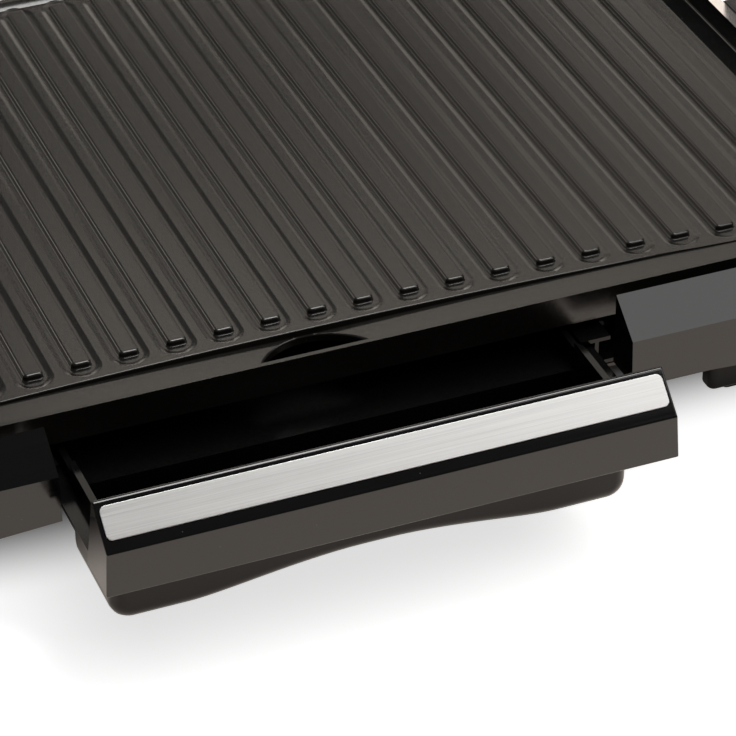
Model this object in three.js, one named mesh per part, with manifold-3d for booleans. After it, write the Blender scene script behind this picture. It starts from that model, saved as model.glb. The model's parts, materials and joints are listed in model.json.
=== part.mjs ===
// Indoor grill: a ribbed lift-off plate in a moulded base, with a drip drawer at the front.
// Millimetres, +Z up, worktop at zero height. While it is built, Y is zero at the front ends of
// the middle ribs and grows towards the back; the whole group is centred at the end.
import * as THREE from 'three';
import { mergeVertices } from 'three/addons/utils/BufferGeometryUtils.js';
import Module from 'manifold-3d';

const wasm = await Module();
wasm.setup();

// Heights above the worktop
const ribTopHeight = 70;
const frameBottomDrop = 38;
const railTopRise = 6.2;

// Fits shared by several pieces
const seatGap = 0.3;
const screwGap = 0.3;
const overrun = 20;

// Ribs and the troughs that they stand in
const ribCount = 24;
const ribPitch = 16;
const ribLength = 223.5;
const ribTopWidth = 5.8;
const ribFootWidth = 8.3;
const ribHeight = 2.7;
const ribCornerRadius = 1.6;
const ribRootDepth = 0.6;
const troughWidth = 12;
const troughDepth = 1.1;
const troughWallRun = 1.4;
const troughFrontReach = 4.2;
const troughRearReach = 2.6;
const frontSweep = 4.75;
const frontSweepHalfWidth = 152;

// Cooking plate
const plateSideMargin = 15.8;
const plateFrontReach = 22.9;
const plateRearMargin = 9;
const plateCornerRadius = 12;
const plateEdgeRadius = 1.2;
const plateSkin = 4.8;
const crestWidth = 2.6;
const crestRun = 3.2;
const crestFallLength = 17;
const landReach = 8.6;
const gutterDrop = 2.25;
const gutterHalfLength = 185;
const lipWidth = 1.6;
const skirtHeight = 11.4;
const skirtWall = 3.4;
const drainRadius = 21.5;
const drainCentreReach = 30.8;

// Base frame, a moulded shell with one section all round
const plateSideGap = 1.2;
const plateFrontGap = 6.4;
const plateRearGap = 1.2;
const frameWall = 2.4;
const frameCornerRadius = 8;
const ledgeDrop = 3.2;
const ledgeWidth = 9.4;
const railBevelRun = 13.2;
const railBevelFall = 10;
const railFaceLean = 1;
const railFaceHeight = 15.8;
const railDeepening = 5.5;
const barPocketLength = 16;
const rearLedgeDrop = 8;
const rearCrestDrop = 11.6;
const rearCreaseDrop = 20;
const rearBlendLength = 31;
const panFlangeWidth = 6;
const panFlangeThickness = 2;
const panFlangeRise = 6.7;

// Heat shield, a sheet-steel pan under the plate
const panThickness = 1.2;
const panRimHeight = 8;
const panSideGap = 0.6;
const panCornerRadius = 7;
const panNotchGap = 1.8;
const ventCount = 7;
const ventWidth = 5;
const ventLength = 46;
const ventPitch = 24;
const ventRearMargin = 62;

// Drawer front, a moulded cap with a bevelled top
const capHalfWidth = 93.4;
const capEndFlare = 0.9;
const capBayGap = 1.5;
const capTopDrop = 2.5;
const capBevelRun = 12.2;
const capBevelFall = 10.7;
const capFaceHeight = 15.5;
const capFaceLean = 0.6;
const capRearLean = 4.6;
const capDepth = 18.9;
const capWall = 2.4;
const capFlushInset = 0.4;
const drawerOpening = 37.8;

// Metal strip on the bevel
const stripEndMargin = 1.3;
const stripTopMargin = 1.5;
const stripWidth = 10.8;
const stripThickness = 0.8;
const stripCornerRadius = 2.2;

// Drip tray: a deep front well, a shallow rear shelf and side tongues
const wellSideInset = 6.3;
const wellLength = 40.4;
const wellDepth = 35.9;
const wellArch = 5.5;
const wellArchHalfWidth = 4;
const wellArchRun = 22;
const wellLobeStart = 62;
const wellLobeRun = 12;
const wellCornerRadius = 7;
const wellEdgeRadius = 5;
const trayWall = 2.2;
const trayRimGap = 0.8;
const shelfLength = 61;
const shelfDepth = 9.6;
const shelfFall = 1.4;
const shelfRimDrop = 2.2;
const tongueDrop = 5.8;
const tongueThickness = 1.6;
const tongueWidth = 6.2;

// Runners that carry the tongues
const runnerSideGap = 0.8;
const runnerTopGap = 1.2;
const runnerBottomGap = 0.6;
const runnerWall = 1.4;
const runnerLipInset = 1.9;
const runnerCrestWidth = 4.1;
const runnerFootWidth = 16;
const runnerFrontGap = 0.9;
const runnerRearReach = 3.2;

// Legs and their rubber pads
const legInnerEdge = 151;
const legWidth = 40;
const legReturn = 26;
const legWall = 8;
const legFrontReach = 4.4;
const legRearMargin = 14;
const legCornerRadius = 2.6;
const legEdgeRadius = 1.4;
const legFootLift = 1.2;
const padLength = 28;
const padWidth = 5;
const padHeight = 4;
const padCornerRadius = 2;

// Posts that carry the plate
const postHalfSpanFront = 178;
const postHalfSpanRear = 120;
const postFrontInset = 20;
const postRearInset = 14;
const postFootRadius = 7;
const postNeckRadius = 4.5;
const postHeadRadius = 6;
const postFootHeight = 2.5;
const postHeadHeight = 2;

// Side handles
const handleLength = 103.5;
const handleFrontInset = 40;
const handleReach = 42;
const handleThickness = 14;
const handleTopDrop = 12.2;
const handleGrip = 12;
const handleRoot = 6;
const handleArm = 13;
const handleCornerRadius = 18;
const handleGapRadius = 9;
const handleEdgeRadius = 2.5;

// Heating element, its clamps, terminals and sensor sleeve
const elementRadius = 3.25;
const elementBendRadius = 12;
const elementLeftReach = 160;
const elementEndRun = 33.8;
const elementInnerReach = 100;
const elementFrontRow = 34;
const elementSecondRow = 90;
const elementThirdRow = 146;
const elementRearRow = 202.5;
const terminalRow = 165;
const terminalSpacing = 25;
const elementEndInset = 26;
const pinRadius = 2.4;
const pinLength = 17;
const pinRoot = 4;
const sleeveRadius = 3.6;
const sleeveBoreRadius = 2.3;
const sleeveLength = 34;
const guardLength = 24;
const guardSheet = 1.2;
const guardSideRoom = 9;
const guardDepth = 11.4;
const guardOuterGap = 1.2;
const portSideRoom = 6;
const portTopDrop = 6;
const portHeight = 15;
const portWall = 1.6;
const portCornerRadius = 3;
const clampWidth = 11;
const clampSheet = 1.2;
const clampTab = 10;

// Screws
const smallScrew = { headRadius: 3, headHeight: 1.9, shankRadius: 1.5, shankLength: 9 };
const largeScrew = { headRadius: 4, headHeight: 2.4, shankRadius: 2, shankLength: 14 };

// Facets
const arcSteps = 3;
const edgeSteps = 2;
const cornerSteps = 6;
const roundSides = 10;
const waveSteps = 5;

// Finishes
const finishes = {
  coatedAluminium: { color: 0x45413d, roughness: 0.5, metalness: 0.2 },
  glossBlack: { color: 0x0d0d0e, roughness: 0.16, metalness: 0 },
  satinBlack: { color: 0x151516, roughness: 0.4, metalness: 0 },
  brushedAluminium: { color: 0xd0cfcc, roughness: 0.32, metalness: 1 },
  sheetSteel: { color: 0x9c9c98, roughness: 0.35, metalness: 1 },
  elementSheath: { color: 0x4d4b47, roughness: 0.5, metalness: 0.8 },
  nickel: { color: 0xb9b7b0, roughness: 0.25, metalness: 1 },
  rubber: { color: 0x1b1b1c, roughness: 0.85, metalness: 0 },
  screwZinc: { color: 0x8f908f, roughness: 0.3, metalness: 1 },
};

// Levels and edges worked out from the sizes above
const plateHalfWidth = ((ribCount - 1) * ribPitch) / 2 + plateSideMargin;
const plateFront = -plateFrontReach;
const plateRear = ribLength + plateRearMargin;
const troughFloorHeight = ribTopHeight - ribHeight;
const landHeight = troughFloorHeight + troughDepth;
const plateUnderside = landHeight - plateSkin;
const skirtBottom = landHeight - skirtHeight;

const frameHalfWidth = plateHalfWidth + plateSideGap;
const frameFront = plateFront - plateFrontGap;
const frameRear = plateRear + plateRearGap;
const frameBottomHeight = ribTopHeight - frameBottomDrop;
const ledgeHeight = ribTopHeight - ledgeDrop;
const rearLedgeHeight = ribTopHeight - rearLedgeDrop;
const rearCrestHeight = ribTopHeight - rearCrestDrop;
const rearCreaseHeight = ribTopHeight - rearCreaseDrop;
const railTopHeight = ribTopHeight + railTopRise;
const railCreaseHeight = railTopHeight - railBevelFall;
const railBottomHeight = railCreaseHeight - railFaceHeight;
const cornerBottomHeight = railBottomHeight - railDeepening;
const railDepth = ledgeWidth + railBevelRun + railFaceLean;
const railFrontFace = frameFront - railDepth;
const railSideFace = frameHalfWidth + railDepth;

const bayHalfWidth = capHalfWidth + capEndFlare + capBayGap;
const capTopHeight = railTopHeight - capTopDrop;
const capCreaseHeight = capTopHeight - capBevelFall;
const capBottomHeight = capCreaseHeight - capFaceHeight;
const capHeight = capTopHeight - capBottomHeight;
const capFront = railFrontFace + capFlushInset - drawerOpening;
const capCreaseFront = capFront + capFaceLean;
const capTopFront = capCreaseFront + capBevelRun;
const trayFront = capFront + capDepth;
const capRearTop = trayFront - capRearLean;

const panFlangeHeight = frameBottomHeight + panFlangeRise;
const panBottom = panFlangeHeight + panFlangeThickness + seatGap;
const panTop = panBottom + panThickness;
const wellHalfWidth = capHalfWidth - wellSideInset;
const trayRimHeight = skirtBottom - trayRimGap;
const wellBottomHeight = trayRimHeight - wellDepth;
const shelfRimHeight = trayRimHeight - shelfRimDrop;
const shelfBottomHeight = shelfRimHeight - shelfDepth;
const tongueTopHeight = trayRimHeight - tongueDrop;
const wellRear = trayFront + wellLength;
const shelfRear = wellRear + shelfLength;
const tongueEdge = wellHalfWidth + tongueWidth;

// Solids from geometries, and back
function welded(geometry) {
  geometry.deleteAttribute('normal');
  geometry.deleteAttribute('uv');
  const merged = mergeVertices(geometry);
  const index = merged.index.array;
  const kept = [];
  for (let i = 0; i < index.length; i += 3) {
    const [a, b, c] = index.slice(i, i + 3);
    if (a !== b && b !== c && c !== a) kept.push(a, b, c);
  }
  merged.setIndex(kept);
  return merged;
}

function enclosedVolume(geometry) {
  const place = geometry.attributes.position;
  const index = geometry.index.array;
  const corner = (k) => new THREE.Vector3().fromBufferAttribute(place, index[k]);
  let volume = 0;
  for (let i = 0; i < index.length; i += 3) {
    volume += corner(i).dot(corner(i + 1).cross(corner(i + 2)));
  }
  return volume;
}

function solid(geometry) {
  const mesh = welded(geometry);
  let triVerts = Uint32Array.from(mesh.index.array);
  if (enclosedVolume(mesh) < 0) triVerts = triVerts.reverse();
  const vertProperties = Float32Array.from(mesh.attributes.position.array);
  return new wasm.Manifold(new wasm.Mesh({ numProp: 3, vertProperties, triVerts }));
}

function geometryOf(manifold) {
  const mesh = manifold.getMesh();
  const geometry = new THREE.BufferGeometry();
  geometry.setAttribute('position', new THREE.BufferAttribute(mesh.vertProperties, 3));
  geometry.setIndex(new THREE.BufferAttribute(mesh.triVerts, 1));
  return geometry;
}

const joined = (first, ...others) => others.reduce((sum, next) => sum.add(next), first);
const cut = (body, ...tools) => tools.reduce((rest, tool) => rest.subtract(tool), body);

// Outlines
const outline = (points) => new THREE.Shape(points.map(([u, v]) => new THREE.Vector2(u, v)));

function roundedOutline(u0, u1, v0, v1, radius) {
  const quarter = Math.PI / 2;
  const shape = new THREE.Shape();
  shape.absarc(u1 - radius, v0 + radius, radius, -quarter, 0);
  shape.absarc(u1 - radius, v1 - radius, radius, 0, quarter);
  shape.absarc(u0 + radius, v1 - radius, radius, quarter, 2 * quarter);
  shape.absarc(u0 + radius, v0 + radius, radius, 2 * quarter, 3 * quarter);
  return shape;
}

// Prisms: an outline drawn on one plane and extruded square to it, with an optional edge
function extruded(shape, length, edge = { depth: 0, run: 0, steps: 1 }, curveSegments = arcSteps) {
  const geometry = new THREE.ExtrudeGeometry(shape, {
    depth: length - 2 * edge.depth,
    bevelEnabled: edge.depth > 0,
    bevelThickness: edge.depth,
    bevelSize: edge.run,
    bevelOffset: -edge.run,
    bevelSegments: edge.steps,
    curveSegments,
  });
  return geometry.translate(0, 0, edge.depth);
}

const prismZ = (shape, z0, z1, edge, steps) => solid(extruded(shape, z1 - z0, edge, steps).translate(0, 0, z0));

function prismY(shape, y0, y1, edge, steps) {
  return solid(extruded(shape, y1 - y0, edge, steps).rotateX(Math.PI / 2).translate(0, y1, 0));
}

const acrossX = new THREE.Matrix4().makeBasis(
  new THREE.Vector3(0, 1, 0),
  new THREE.Vector3(0, 0, 1),
  new THREE.Vector3(1, 0, 0),
);

function prismX(shape, x0, x1, edge, steps) {
  return solid(extruded(shape, x1 - x0, edge, steps).applyMatrix4(acrossX).translate(x0, 0, 0));
}

function box(x0, x1, y0, y1, z0, z1) {
  const geometry = new THREE.BoxGeometry(x1 - x0, y1 - y0, z1 - z0);
  return solid(geometry.translate((x0 + x1) / 2, (y0 + y1) / 2, (z0 + z1) / 2));
}

const rounding = (radius) => ({ depth: radius, run: radius, steps: edgeSteps });

// A round bar from one point to another
function rod(from, to, radius, sides = roundSides) {
  const span = new THREE.Vector3().subVectors(to, from);
  const geometry = new THREE.CylinderGeometry(radius, radius, span.length(), sides);
  const turn = new THREE.Quaternion().setFromUnitVectors(
    new THREE.Vector3(0, 1, 0),
    span.clone().normalize(),
  );
  geometry.applyQuaternion(turn);
  return solid(geometry.translate(...span.multiplyScalar(1 / 2).add(from).toArray()));
}

// A turned solid about the vertical axis through x, y: radii and heights from the bottom up
function turned(x, y, profile, sides = roundSides) {
  const points = profile.map(([r, z]) => new THREE.Vector2(r, z));
  return solid(new THREE.LatheGeometry(points, sides).rotateX(Math.PI / 2).translate(x, y, 0));
}

// A skin through rings of equal count, closed on itself or with flat ends
function loft(rings, endless) {
  const count = rings[0].length;
  const places = rings.flat().flatMap((p) => p.toArray());
  const index = [];
  const spans = endless ? rings.length : rings.length - 1;
  for (let i = 0; i < spans; i += 1) {
    const here = i * count;
    const next = ((i + 1) % rings.length) * count;
    for (let k = 0; k < count; k += 1) {
      const after = (k + 1) % count;
      index.push(here + k, next + k, next + after, here + k, next + after, here + after);
    }
  }
  for (let k = 1; !endless && k < count - 1; k += 1) {
    const last = (rings.length - 1) * count;
    index.push(0, k, k + 1, last, last + k + 1, last + k);
  }
  const geometry = new THREE.BufferGeometry();
  geometry.setAttribute('position', new THREE.Float32BufferAttribute(places, 3));
  geometry.setIndex(index);
  return solid(geometry);
}

// Groups for the pieces that move together
const grill = new THREE.Group();
const base = new THREE.Group();
const plate = new THREE.Group();
const drawer = new THREE.Group();
grill.add(base, plate, drawer);

function piece(group, name, body, finish) {
  const material = new THREE.MeshStandardMaterial({ ...finishes[finish], flatShading: true });
  const mesh = new THREE.Mesh(geometryOf(body), material);
  mesh.name = name;
  group.add(mesh);
  return mesh;
}

// Screws point along a direction, with the underside of the head at a seat
function screwSolid(size, seat, direction) {
  const dome = size.headHeight / 2;
  const profile = [
    [0, -size.headHeight],
    [size.headRadius - dome, -size.headHeight],
    [size.headRadius, -dome],
    [size.headRadius, 0],
    [size.shankRadius, 0],
    [size.shankRadius, size.shankLength - size.shankRadius],
    [0, size.shankLength],
  ];
  const points = profile.map(([r, z]) => new THREE.Vector2(r, z));
  const geometry = new THREE.LatheGeometry(points, roundSides);
  const turn = new THREE.Quaternion().setFromUnitVectors(new THREE.Vector3(0, 1, 0), direction);
  return solid(geometry.applyQuaternion(turn).translate(seat.x, seat.y, seat.z));
}

function screwHole(size, seat, direction) {
  const reach = size.shankLength + screwGap;
  const from = seat.clone().addScaledVector(direction, -size.headHeight);
  const to = seat.clone().addScaledVector(direction, reach);
  return rod(from, to, size.shankRadius + screwGap);
}

const up = new THREE.Vector3(0, 0, 1);
const down = new THREE.Vector3(0, 0, -1);

// Ribbed cooking plate
const sweptFront = (x) => -frontSweep * (x / frontSweepHalfWidth) ** 2;

function sweptEdge(halfWidth, reach) {
  const steps = ribCount / 2;
  const points = [];
  for (let i = 0; i <= steps; i += 1) {
    const x = halfWidth * ((2 * i) / steps - 1);
    points.push([x, sweptFront(x) - reach]);
  }
  return points;
}

function troughCutter(x) {
  const half = troughWidth / 2;
  const front = sweptFront(x) - troughFrontReach + half;
  const rear = ribLength + troughRearReach - half;
  const shape = new THREE.Shape();
  shape.absarc(x, front, half, Math.PI, 2 * Math.PI);
  shape.absarc(x, rear, half, 0, Math.PI);
  const edge = { depth: troughDepth, run: troughWallRun, steps: 1 };
  return prismZ(shape, troughFloorHeight, landHeight + 2 * troughDepth, edge, arcSteps);
}

function rib(x) {
  const half = ribFootWidth / 2;
  const shape = roundedOutline(x - half, x + half, sweptFront(x), ribLength, ribCornerRadius);
  const edge = { depth: ribHeight, run: (ribFootWidth - ribTopWidth) / 2, steps: 1 };
  return prismZ(shape, troughFloorHeight - ribHeight - ribRootDepth, ribTopHeight, edge, 1);
}

function gutterCutter() {
  const high = ribTopHeight + overrun;
  const vee = outline([
    [-gutterHalfLength, landHeight],
    [0, landHeight - gutterDrop],
    [gutterHalfLength, landHeight],
    [gutterHalfLength, high],
    [-gutterHalfLength, high],
  ]);
  const inner = plateFront + lipWidth;
  const zone = outline([
    ...sweptEdge(gutterHalfLength, landReach),
    [gutterHalfLength, inner],
    [-gutterHalfLength, inner],
  ]);
  return prismY(vee, plateFront, 0).intersect(prismZ(zone, plateUnderside, high));
}

function drainCutter() {
  const lipInner = plateFront + lipWidth;
  const rise = lipInner + drainCentreReach;
  const start = Math.asin(rise / drainRadius);
  const shape = new THREE.Shape();
  shape.absarc(0, -drainCentreReach, drainRadius, start, Math.PI - start);
  return prismZ(shape, skirtBottom, ribTopHeight, undefined, 4 * arcSteps);
}

function grillPlate() {
  const body = prismZ(
    roundedOutline(-plateHalfWidth, plateHalfWidth, plateFront, plateRear, plateCornerRadius),
    skirtBottom,
    ribTopHeight,
    rounding(plateEdgeRadius),
  );
  const hollow = prismZ(
    roundedOutline(
      -plateHalfWidth + skirtWall,
      plateHalfWidth - skirtWall,
      plateFront + skirtWall,
      plateRear - skirtWall,
      plateCornerRadius - skirtWall,
    ),
    skirtBottom - overrun,
    plateUnderside,
  );
  const crestDepth = ribTopHeight - landHeight;
  const land = prismZ(
    roundedOutline(
      -plateHalfWidth + crestWidth,
      plateHalfWidth - crestWidth,
      plateFront + lipWidth,
      plateRear - crestWidth,
      plateCornerRadius - crestWidth,
    ),
    landHeight,
    ribTopHeight + crestDepth,
    { depth: crestDepth, run: crestRun, steps: 1 },
  );
  const lipFall = prismX(
    outline([
      [plateFront - overrun, landHeight],
      [plateFront + lipWidth, landHeight],
      [plateFront + lipWidth + crestFallLength, ribTopHeight],
      [plateFront + lipWidth + crestFallLength, ribTopHeight + overrun],
      [plateFront - overrun, ribTopHeight + overrun],
    ]),
    -plateHalfWidth - overrun,
    plateHalfWidth + overrun,
  );
  const notchHalf = terminalSpacing / 2 + guardSideRoom + guardSheet;
  const notch = box(
    plateHalfWidth - skirtWall - seatGap,
    plateHalfWidth + overrun,
    terminalRow - notchHalf,
    terminalRow + notchHalf,
    skirtBottom - overrun,
    plateUnderside,
  );
  let shaped = cut(body, hollow, lipFall, land, gutterCutter(), notch);
  const ribs = [];
  for (let i = 0; i < ribCount; i += 1) {
    const x = (i - (ribCount - 1) / 2) * ribPitch;
    shaped = shaped.subtract(troughCutter(x));
    ribs.push(rib(x));
  }
  return cut(joined(shaped, ...ribs), drainCutter());
}

// Base frame: stations round the opening, each with the same moulded section
function frameSection(rearShare, bottom) {
  const blend = (front, rear) => front + (rear - front) * rearShare;
  const slope = railBevelFall / railBevelRun;
  const skin = frameWall * Math.hypot(1, slope);
  const crease = ledgeWidth + railBevelRun;
  const crest = blend(railTopHeight, rearCrestHeight);
  const creaseHeight = blend(railCreaseHeight, rearCreaseHeight);
  const ledge = blend(ledgeHeight, rearLedgeHeight);
  const fall = (crest - creaseHeight) / railBevelRun;
  const innerLedge = Math.min(ledge, crest) - frameWall;
  return [
    [0, frameBottomHeight],
    [0, panFlangeHeight],
    [-panFlangeWidth, panFlangeHeight],
    [-panFlangeWidth, panFlangeHeight + panFlangeThickness],
    [0, panFlangeHeight + panFlangeThickness],
    [0, ledge],
    [ledgeWidth, blend(ledge, crest)],
    [ledgeWidth, crest],
    [crease, creaseHeight],
    [railDepth, bottom],
    [railDepth - frameWall, bottom],
    [crease - frameWall, creaseHeight + frameWall * fall - skin],
    [ledgeWidth + frameWall, crest - frameWall * fall - skin],
    [ledgeWidth + frameWall, innerLedge - (frameWall * 2 + skin) * rearShare],
    [frameWall, innerLedge],
    [frameWall, frameBottomHeight],
  ];
}

function frameStations() {
  const quarter = Math.PI / 2;
  const cx = frameHalfWidth - frameCornerRadius;
  const cy0 = frameFront + frameCornerRadius;
  const cy1 = frameRear - frameCornerRadius;
  const stations = [];
  const station = (x, y, angle, rearShare) => {
    const inFront = angle === -quarter && Math.abs(x) < cx;
    const bottom = inFront ? railBottomHeight : cornerBottomHeight;
    const ring = frameSection(rearShare, bottom).map(([d, z]) => {
      const reach = frameCornerRadius + d;
      return new THREE.Vector3(x + reach * Math.cos(angle), y + reach * Math.sin(angle), z);
    });
    stations.push(ring);
  };
  const corner = (x, y, start, rearShare) => {
    for (let k = 0; k <= cornerSteps; k += 1) {
      station(x, y, start + (quarter * k) / cornerSteps, rearShare);
    }
  };
  station(bayHalfWidth, cy0, -quarter, 0);
  corner(cx, cy0, -quarter, 0);
  station(cx, cy1 - rearBlendLength, 0, 0);
  corner(cx, cy1, 0, 1);
  corner(-cx, cy1, quarter, 1);
  station(-cx, cy1 - rearBlendLength, 2 * quarter, 0);
  corner(-cx, cy0, 2 * quarter, 0);
  station(-bayHalfWidth, cy0, -quarter, 0);
  return stations;
}

function portOutline(room) {
  const half = terminalSpacing / 2 + portSideRoom + room;
  const top = ledgeHeight - portTopDrop + room;
  const bottom = ledgeHeight - portTopDrop - portHeight - room;
  return roundedOutline(terminalRow - half, terminalRow + half, bottom, top, portCornerRadius + room);
}

const handleScrewHeight = ribTopHeight - handleTopDrop - handleThickness / 2 + railTopRise;
const handleScrewRows = [
  handleFrontInset + handleArm / 2,
  handleFrontInset + handleLength - handleArm / 2,
];
const handleScrewSeat = railSideFace - railFaceLean - frameWall - seatGap;

function baseFrame() {
  const ring = loft(frameStations(), true);
  const bay = box(
    -bayHalfWidth,
    bayHalfWidth,
    railFrontFace - overrun,
    frameFront + overrun,
    0,
    railTopHeight + overrun,
  );
  const barRear = frameFront - ledgeWidth;
  const pocketEnd = bayHalfWidth + barPocketLength;
  const pocket = box(
    -pocketEnd,
    pocketEnd,
    barRear,
    frameFront + panFlangeWidth + overrun,
    0,
    railTopHeight + overrun,
  );
  const endProfile = outline([
    [barRear, railBottomHeight],
    [barRear, railTopHeight],
    [barRear - railBevelRun, railCreaseHeight],
    [railFrontFace, railBottomHeight],
  ]);
  const ends = [-1, 1].flatMap((side) => {
    const span = (from, to) => [Math.min(side * from, side * to), Math.max(side * from, side * to)];
    const [endLow, endHigh] = span(bayHalfWidth, bayHalfWidth + frameWall);
    const [backLow, backHigh] = span(bayHalfWidth, pocketEnd + frameWall);
    const [sideLow, sideHigh] = span(pocketEnd, pocketEnd + frameWall);
    return [
      prismX(endProfile, endLow, endHigh),
      box(backLow, backHigh, barRear - frameWall, barRear, railBottomHeight, ledgeHeight),
      box(sideLow, sideHigh, barRear - frameWall, frameFront, railBottomHeight, ledgeHeight),
    ];
  });
  const port = prismX(portOutline(portWall + seatGap), frameHalfWidth - overrun, railSideFace + overrun);
  const screwHoles = [-1, 1].flatMap((side) => handleScrewRows.map((y) => {
    const seat = new THREE.Vector3(side * handleScrewSeat, y, handleScrewHeight);
    return screwHole(largeScrew, seat, new THREE.Vector3(side, 0, 0));
  }));
  return cut(joined(cut(ring, bay, pocket), ...ends), port, ...screwHoles);
}

function portLiner() {
  const sleeve = prismX(portOutline(portWall), frameHalfWidth, railSideFace);
  return cut(sleeve, prismX(portOutline(0), frameHalfWidth - overrun, railSideFace + overrun));
}

// Heat shield
const panNotchHalfWidth = bayHalfWidth + panNotchGap;
const panNotchRear = shelfRear + drawerOpening + runnerRearReach;
const runnerScrewX = panNotchHalfWidth + runnerFootWidth / 2;
const panHalfWidth = frameHalfWidth - panSideGap;
const panFront = frameFront + panSideGap;
const panRear = frameRear - panSideGap;
const runnerFront = frameFront + runnerFrontGap;
const runnerRear = panNotchRear;
const runnerSpan = runnerRear - runnerFront;
const runnerScrewShares = [0.2, 0.85];
const runnerScrewRows = runnerScrewShares.map((share) => runnerFront + runnerSpan * share);
const legRows = [
  -legFrontReach + legWall / 2,
  plateRear - legRearMargin - legWall / 2,
];
const legCentreX = legInnerEdge + legWidth / 2;

function heatShield() {
  const floor = prismZ(
    roundedOutline(-panHalfWidth, panHalfWidth, panFront, panRear, panCornerRadius),
    panBottom,
    panTop + panRimHeight,
  );
  const hollow = prismZ(
    roundedOutline(
      -panHalfWidth + panThickness,
      panHalfWidth - panThickness,
      panFront - overrun,
      panRear - panThickness,
      panCornerRadius - panThickness,
    ),
    panTop,
    panTop + panRimHeight + overrun,
  );
  const notch = box(
    -panNotchHalfWidth,
    panNotchHalfWidth,
    panFront - overrun,
    panNotchRear,
    panBottom - overrun,
    panTop + panRimHeight + overrun,
  );
  const tools = [];
  for (let i = 0; i < ventCount; i += 1) {
    const x = (i - (ventCount - 1) / 2) * ventPitch;
    const rear = panRear - ventRearMargin;
    const slot = roundedOutline(x - ventWidth / 2, x + ventWidth / 2, rear - ventLength, rear, ventWidth / 2);
    tools.push(prismZ(slot, panBottom - overrun, panTop + overrun));
  }
  for (const side of [-1, 1]) {
    for (const y of runnerScrewRows) {
      const seat = new THREE.Vector3(side * runnerScrewX, y, panTop);
      tools.push(screwHole(smallScrew, seat, down));
    }
    for (const y of legRows) {
      const seat = new THREE.Vector3(side * legCentreX, y, panTop);
      tools.push(screwHole(largeScrew, seat, down));
    }
  }
  return cut(floor, hollow, notch, ...tools);
}

// Drawer runners
function runner(side) {
  const inner = tongueEdge + runnerSideGap;
  const outer = inner + runnerWall;
  const lip = wellHalfWidth + runnerLipInset;
  const foot = panTop + seatGap;
  const roof = tongueTopHeight + runnerTopGap;
  const floor = tongueTopHeight - tongueThickness - runnerBottomGap;
  const section = outline([
    [panNotchHalfWidth + runnerFootWidth, foot],
    [panNotchHalfWidth + runnerFootWidth, foot + runnerWall],
    [outer, foot + runnerWall],
    [outer, roof],
    [outer + runnerCrestWidth, roof],
    [outer + runnerCrestWidth, roof + runnerWall],
    [lip, roof + runnerWall],
    [lip, roof],
    [inner, roof],
    [inner, floor],
    [lip, floor],
    [lip, floor - runnerWall],
    [inner, floor - runnerWall],
    [inner, foot],
  ].map(([x, z]) => [side * x, z]));
  const holes = runnerScrewRows.map((y) => {
    const seat = new THREE.Vector3(side * runnerScrewX, y, foot + runnerWall);
    return screwHole(smallScrew, seat, down);
  });
  return cut(prismY(section, runnerFront, runnerRear), ...holes);
}

// Legs and pads: each leg is an angle in plan, with its screw and its pad in the cross leaf
function legPlan(side, toRear) {
  const r = legCornerRadius;
  const quarter = Math.PI / 2;
  const outer = legWidth / 2;
  const shape = new THREE.Shape();
  shape.absarc(-outer + r, -legWall / 2 + r, r, 2 * quarter, 3 * quarter);
  shape.absarc(outer - r, -legWall / 2 + r, r, 3 * quarter, 4 * quarter);
  shape.absarc(outer - r, legReturn - legWall / 2 - r, r, 0, quarter);
  shape.absarc(outer - legWall + r, legReturn - legWall / 2 - r, r, quarter, 2 * quarter);
  shape.lineTo(outer - legWall, legWall / 2);
  shape.absarc(-outer + r, legWall / 2 - r, r, quarter, 2 * quarter);
  const points = shape.getPoints(edgeSteps).map((p) => [side * p.x, toRear * p.y]);
  return outline(side * toRear > 0 ? points : points.reverse());
}

function leg(side, y) {
  const top = panBottom - seatGap;
  const toRear = y === legRows[0] ? 1 : -1;
  const post = prismZ(legPlan(side, toRear), legFootLift, top + 2 * legEdgeRadius, rounding(legEdgeRadius));
  const placed = solid(geometryOf(post).translate(side * legCentreX, y, 0));
  const above = box(
    side * legCentreX - legWidth,
    side * legCentreX + legWidth,
    y - legReturn - overrun,
    y + legReturn + overrun,
    top,
    top + overrun,
  );
  const seat = new THREE.Vector3(side * legCentreX, y, panTop);
  return cut(placed, above, padSolid(side, y, seatGap), screwHole(largeScrew, seat, down));
}

function padSolid(side, y, room) {
  const x = side * legCentreX;
  const shape = roundedOutline(
    x - padLength / 2 - room,
    x + padLength / 2 + room,
    y - padWidth / 2 - room,
    y + padWidth / 2 + room,
    padCornerRadius + room,
  );
  return prismZ(shape, -overrun * Math.sign(room), padHeight + room);
}

// Plate posts
function post(x, y) {
  const foot = panTop + seatGap;
  const head = plateUnderside - seatGap;
  return turned(x, y, [
    [0, foot],
    [postFootRadius, foot],
    [postFootRadius, foot + postFootHeight],
    [postNeckRadius, foot + 2 * postFootHeight],
    [postNeckRadius, head - 2 * postHeadHeight],
    [postHeadRadius, head - postHeadHeight],
    [postHeadRadius, head],
    [0, head],
  ]);
}

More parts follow.
